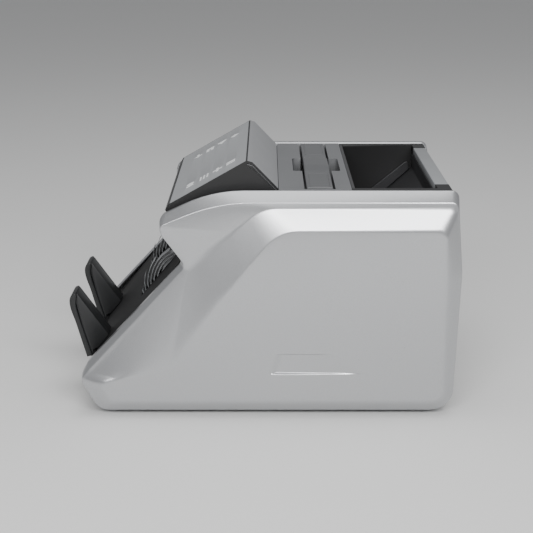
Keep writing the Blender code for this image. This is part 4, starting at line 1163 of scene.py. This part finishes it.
def rear_cover():
    """Rear cover with louvre slots and sunk screw seats."""
    cover = copied("rear_cover", "rear_cover_moulding", "top")
    soften(cover, 0.0005)
    bake(cover)
    tools = []
    for x, z in VENTS:
        slot = oblong(x, z, *(VENT_SIZE / 2), VENT_ROUND, 3)
        tools.append(prism("vent", slot, COVER_BACK - BEYOND, COVER_BACK + BEYOND, "top", "Y"))
    for x, z in SCREWS:
        tools.append(lathe("seat", [
            (0, -0.0006), (0.0040, -0.0006), (0.0045, 0.0010), (0, 0.0010),
        ], (x, COVER_BACK, z), "top", "Y", 32))
    combine(cover, "DIFFERENCE", tools)
    return cover


def rear_door():
    """Jam-clearing door: a framed leaf with a ribbed finger grip along its top."""
    leaf = copied("rear_door", "rear_door_leaf", "top")
    soften(leaf, 0.0004)
    bake(leaf)
    back = DOOR_HIGH.y
    low, high = DOOR_LOW.z + 0.010, DOOR_HIGH.z - 0.018
    field = oblong(0, (low + high) / 2, DOOR_HIGH.x - 0.010, (high - low) / 2, 0.004, 5)
    grooves = [prism("field", field, back - 0.0007, back + BEYOND, "top", "Y")]
    for row in range(4):
        groove = oblong(0, DOOR_HIGH.z - 0.0048 - 0.0026 * row, 0.022, 0.0006, 0.0005, 3)
        grooves.append(prism("rib_groove", groove, back - 0.0006, back + BEYOND, "top", "Y"))
    combine(leaf, "DIFFERENCE", grooves)
    return leaf


def knob():
    """Fluted knob with a pointer ridge, on its shaft."""
    centre = ((KNOB_LOW.x + KNOB_HIGH.x) / 2, COVER_BACK, (KNOB_LOW.z + KNOB_HIGH.z) / 2)
    flutes = 18
    steps = 4 * flutes
    outline = []
    for step in range(steps):
        angle = 2 * math.pi * step / steps
        radius = 0.0088 - 0.0005 * (1 + math.cos(flutes * angle)) / 2
        outline.append((centre[0] + radius * math.cos(angle), centre[2] + radius * math.sin(angle)))
    body = prism("gap_knob", outline, COVER_BACK + 0.0003, COVER_BACK + 0.0036, "black", "Y")
    face = lathe("face", [
        (0, 0.0030), (0.0088, 0.0030), (0.0088, 0.0037), (0.0082, 0.0042), (0.0060, 0.0042), (0.0056, 0.0038),
        (0, 0.0038),
    ], centre, "black", "Y", 72)
    stem = lathe("stem", [
        (0, -0.0080), (0.0034, -0.0080), (0.0037, -0.0077), (0.0037, 0.0010), (0, 0.0010),
    ], centre, "black", "Y", 36)
    ridge = block(
        "ridge", (-0.0007, COVER_BACK + 0.0032, centre[2] + 0.0008),
        (0.0007, COVER_BACK + 0.0043, centre[2] + 0.0070), "black",
    )
    combine(body, "UNION", [face, stem, ridge])
    return body


def foot(name, x, y):
    """Rubber foot with a chamfer, a groove and a dished underside."""
    return lathe(name, [
        (0, 0.0004), (0.0050, 0.0004), (0.0056, 0.0), (0.0072, 0.0), (0.0079, 0.0006), (0.0083, 0.0022),
        (0.0081, 0.0026), (0.0086, 0.0030), (0.0088, 0.0057), (0, 0.0057),
    ], (x, y, 0), "rubber", "Z")


def motor():
    """Can motor: rolled can with two ribs, end bell and a boss round the shaft."""
    centre = (0, (MOTOR_LOW.y + MOTOR_HIGH.y) / 2, (MOTOR_LOW.z + MOTOR_HIGH.z) / 2)
    radius = (MOTOR_HIGH.z - MOTOR_LOW.z) / 2
    low, high = MOTOR_LOW.x, MOTOR_HIGH.x
    return lathe("motor_can", [
        (0, low), (0.0065, low), (0.0065, low + 0.0010), (radius - 0.0015, low + 0.0010),
        (radius, low + 0.0025), (radius, low + 0.0120), (radius - 0.0006, low + 0.0124),
        (radius - 0.0006, low + 0.0136), (radius, low + 0.0140), (radius, high - 0.0140),
        (radius - 0.0006, high - 0.0136), (radius - 0.0006, high - 0.0124), (radius, high - 0.0120),
        (radius, high - 0.0040), (radius - 0.0025, high - 0.0015), (0.0080, high - 0.0015), (0.0070, high),
        (0, high),
    ], centre, "zinc", "X", 64)


class COUNTER_OT_rear(bpy.types.Operator):
    """Build the hopper's walls, the rear cover, door and knob, the feet and the motor"""

    bl_idname = "counter.rear"
    bl_label = "Hopper, Rear and Feet"

    def execute(self, context):
        low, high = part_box("hopper_front_wall")
        for label, side in (("right", 1), ("left", -1)):
            wall = copied(f"hopper_{label}_wall", f"hopper_{label}_side", "black")
            near, far = sorted((side * (high.x + 0.0002), side * (INNER_X - 0.0004)))
            filler = block(
                "filler", (near, low.y + 0.0002, TOP_Z - 0.0024),
                (far, high.y + 0.0010, TOP_Z - 0.0003), "black",
            )
            combine(wall, "UNION", [filler])
            soften(wall, 0.0003)
            settle(wall, "machine_body", "black", f"hopper_{label}_wall")
        settle(rear_cover(), "machine_body", "top", "rear_cover")
        for index, (x, z) in enumerate(SCREWS):
            settle(screw(f"rear_screw_{index}", x, z), "machine_body", "zinc")
        settle(rear_door(), "door", "top", "rear_door")
        settle(knob(), "knob", "black", "gap_adjust_knob")
        for node in ("front_right_foot", "front_left_foot", "rear_right_foot", "rear_left_foot"):
            low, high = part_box(node)
            made = foot(node + "_pad", (low.x + high.x) / 2, (low.y + high.y) / 2)
            settle(made, "machine_body", "rubber", node)
        settle(motor(), "machine_body", "zinc", "main_motor")
        return {"FINISHED"}


# --- pieces that keep their shape

CARRIED_EDGE = 0.0003
CARRIED = {
    "machine_body": {
        "base_plate": "zinc", "right_side_frame": "zinc", "left_side_frame": "zinc",
        "hopper_floor": "hopper", "hopper_front_wall": "hopper", "friction_pad": "rubber",
        "rear_rim": "rim", "lower_note_guide": "zinc", "upper_note_guide": "zinc",
        "sensor_bar": "hopper", "display_module": "board", "key_board": "board",
        "main_board": "board", "power_board": "board", "motor_belt": "rubber",
        "stacker_belt": "rubber", "feed_belt": "rubber", "left_drive_bearing": "acetal",
        "left_feed_bearing": "acetal", "right_drive_bearing": "acetal",
        "right_feed_bearing": "acetal", "power_inlet": "black", "switch_frame": "black",
    },
    "drive_spindle": {
        "drive_shaft": "shaft", "drive_roller": "roller", "drive_pulley_left": "acetal",
        "drive_pulley_right": "acetal",
    },
    "stacker_spindle": {"stacker_shaft": "shaft", "stacker_pulley": "acetal"},
    "feed_spindle": {"feed_shaft": "shaft", "feed_roller": "roller", "feed_pulley": "acetal"},
    "motor_rotor": {"motor_pulley": "acetal"},
    "pinch_spindle": {"pinch_roller": "acetal"},
    "right_guide": {"hopper_right_guide": "hopper"},
    "left_guide": {"hopper_left_guide": "hopper"},
    "rocker": {"power_rocker": "black"},
}


class COUNTER_OT_carried(bpy.types.Operator):
    """Finish the pieces that keep the frame's own shape, with rounded corners"""

    bl_idname = "counter.carried"
    bl_label = "Carried Pieces"

    def execute(self, context):
        for body, pieces in CARRIED.items():
            for node, look in pieces.items():
                refined(node, body, look, CARRIED_EDGE)
        return {"FINISHED"}


# --- stage

# Each softbox: name, place, aim, width, height and power in watts.
SOFTBOXES = (
    ("key_softbox", (1.42, 0.07, 0.92), (0.11, 0.02, 0.16), 1.6, 0.36, 26),
    ("top_softbox", (0.1, 0.1, 1.7), (0, 0, 0.1), 1.6, 1.2, 12.4),
)
CAMERA_PLACE = (1.0903, 0.0049, 0.3985)
CAMERA_DOWN = math.radians(15.7)
CAMERA_LENS = 87.8


def lamp(name, place, aim, wide, tall, power):
    """Softbox: a rectangular area light aimed at a point."""
    data = bpy.data.lights.new(name, "AREA")
    data.shape = "RECTANGLE"
    data.size = wide
    data.size_y = tall
    data.energy = power
    made = bpy.data.objects.new(name, data)
    made.location = place
    made.rotation_euler = (Vector(aim) - Vector(place)).to_track_quat("-Z", "Y").to_euler()
    bpy.context.scene.collection.objects.link(made)


class COUNTER_OT_stage(bpy.types.Operator):
    """Set the floor, the soft lights, the surroundings and the camera"""

    bl_idname = "counter.stage"
    bl_label = "Studio Stage"

    def execute(self, context):
        scene = context.scene
        shape = bmesh.new()
        bmesh.ops.create_circle(shape, cap_ends=True, segments=96, radius=14)
        floor = piece_of("studio_floor", shape, "paper")
        world = bpy.data.worlds.new("studio")
        world.use_nodes = True
        backdrop = world.node_tree.nodes["Background"]
        backdrop.inputs["Color"].default_value = (*linear("#E9EAEC"), 1)
        backdrop.inputs["Strength"].default_value = 0.40
        scene.world = world
        for softbox in SOFTBOXES:
            lamp(*softbox)
        data = bpy.data.cameras.new("camera")
        data.lens = CAMERA_LENS
        data.sensor_width = 36
        camera = bpy.data.objects.new("camera", data)
        camera.location = CAMERA_PLACE
        camera.rotation_euler = (math.pi / 2 - CAMERA_DOWN, 0, math.pi / 2)
        scene.collection.objects.link(camera)
        scene.camera = camera
        return {"FINISHED"}


class COUNTER_PT_sidebar(bpy.types.Panel):
    """Settings and build steps in the 3D view's sidebar"""

    bl_idname = "COUNTER_PT_sidebar"
    bl_label = "Banknote Counter"
    bl_space_type = "VIEW_3D"
    bl_region_type = "UI"
    bl_category = "Banknote Counter"

    def draw(self, context):
        layout = self.layout
        for group in (context.scene.counter_finishes, context.scene.counter_sizes):
            for name in group.bl_rna.properties.keys():
                if name not in ("name", "rna_type"):
                    layout.prop(group, name)
        for operator in OPERATORS:
            layout.operator(operator.bl_idname)


OPERATORS = (
    COUNTER_OT_side_covers,
    COUNTER_OT_control_panel,
    COUNTER_OT_top,
    COUNTER_OT_stacker,
    COUNTER_OT_rear,
    COUNTER_OT_carried,
    COUNTER_OT_stage,
)
CLASSES = (COUNTER_PG_finishes, COUNTER_PG_sizes, *OPERATORS, COUNTER_PT_sidebar)


def register():
    for cls in CLASSES:
        bpy.utils.register_class(cls)
    bpy.types.Scene.counter_finishes = PointerProperty(type=COUNTER_PG_finishes)
    bpy.types.Scene.counter_sizes = PointerProperty(type=COUNTER_PG_sizes)


def unregister():
    del bpy.types.Scene.counter_sizes
    del bpy.types.Scene.counter_finishes
    for cls in reversed(CLASSES):
        bpy.utils.unregister_class(cls)


def main():
    register()
    for operator in OPERATORS:
        group, name = operator.bl_idname.split(".")
        getattr(getattr(bpy.ops, group), name)()


if __name__ == "__main__":
    main()
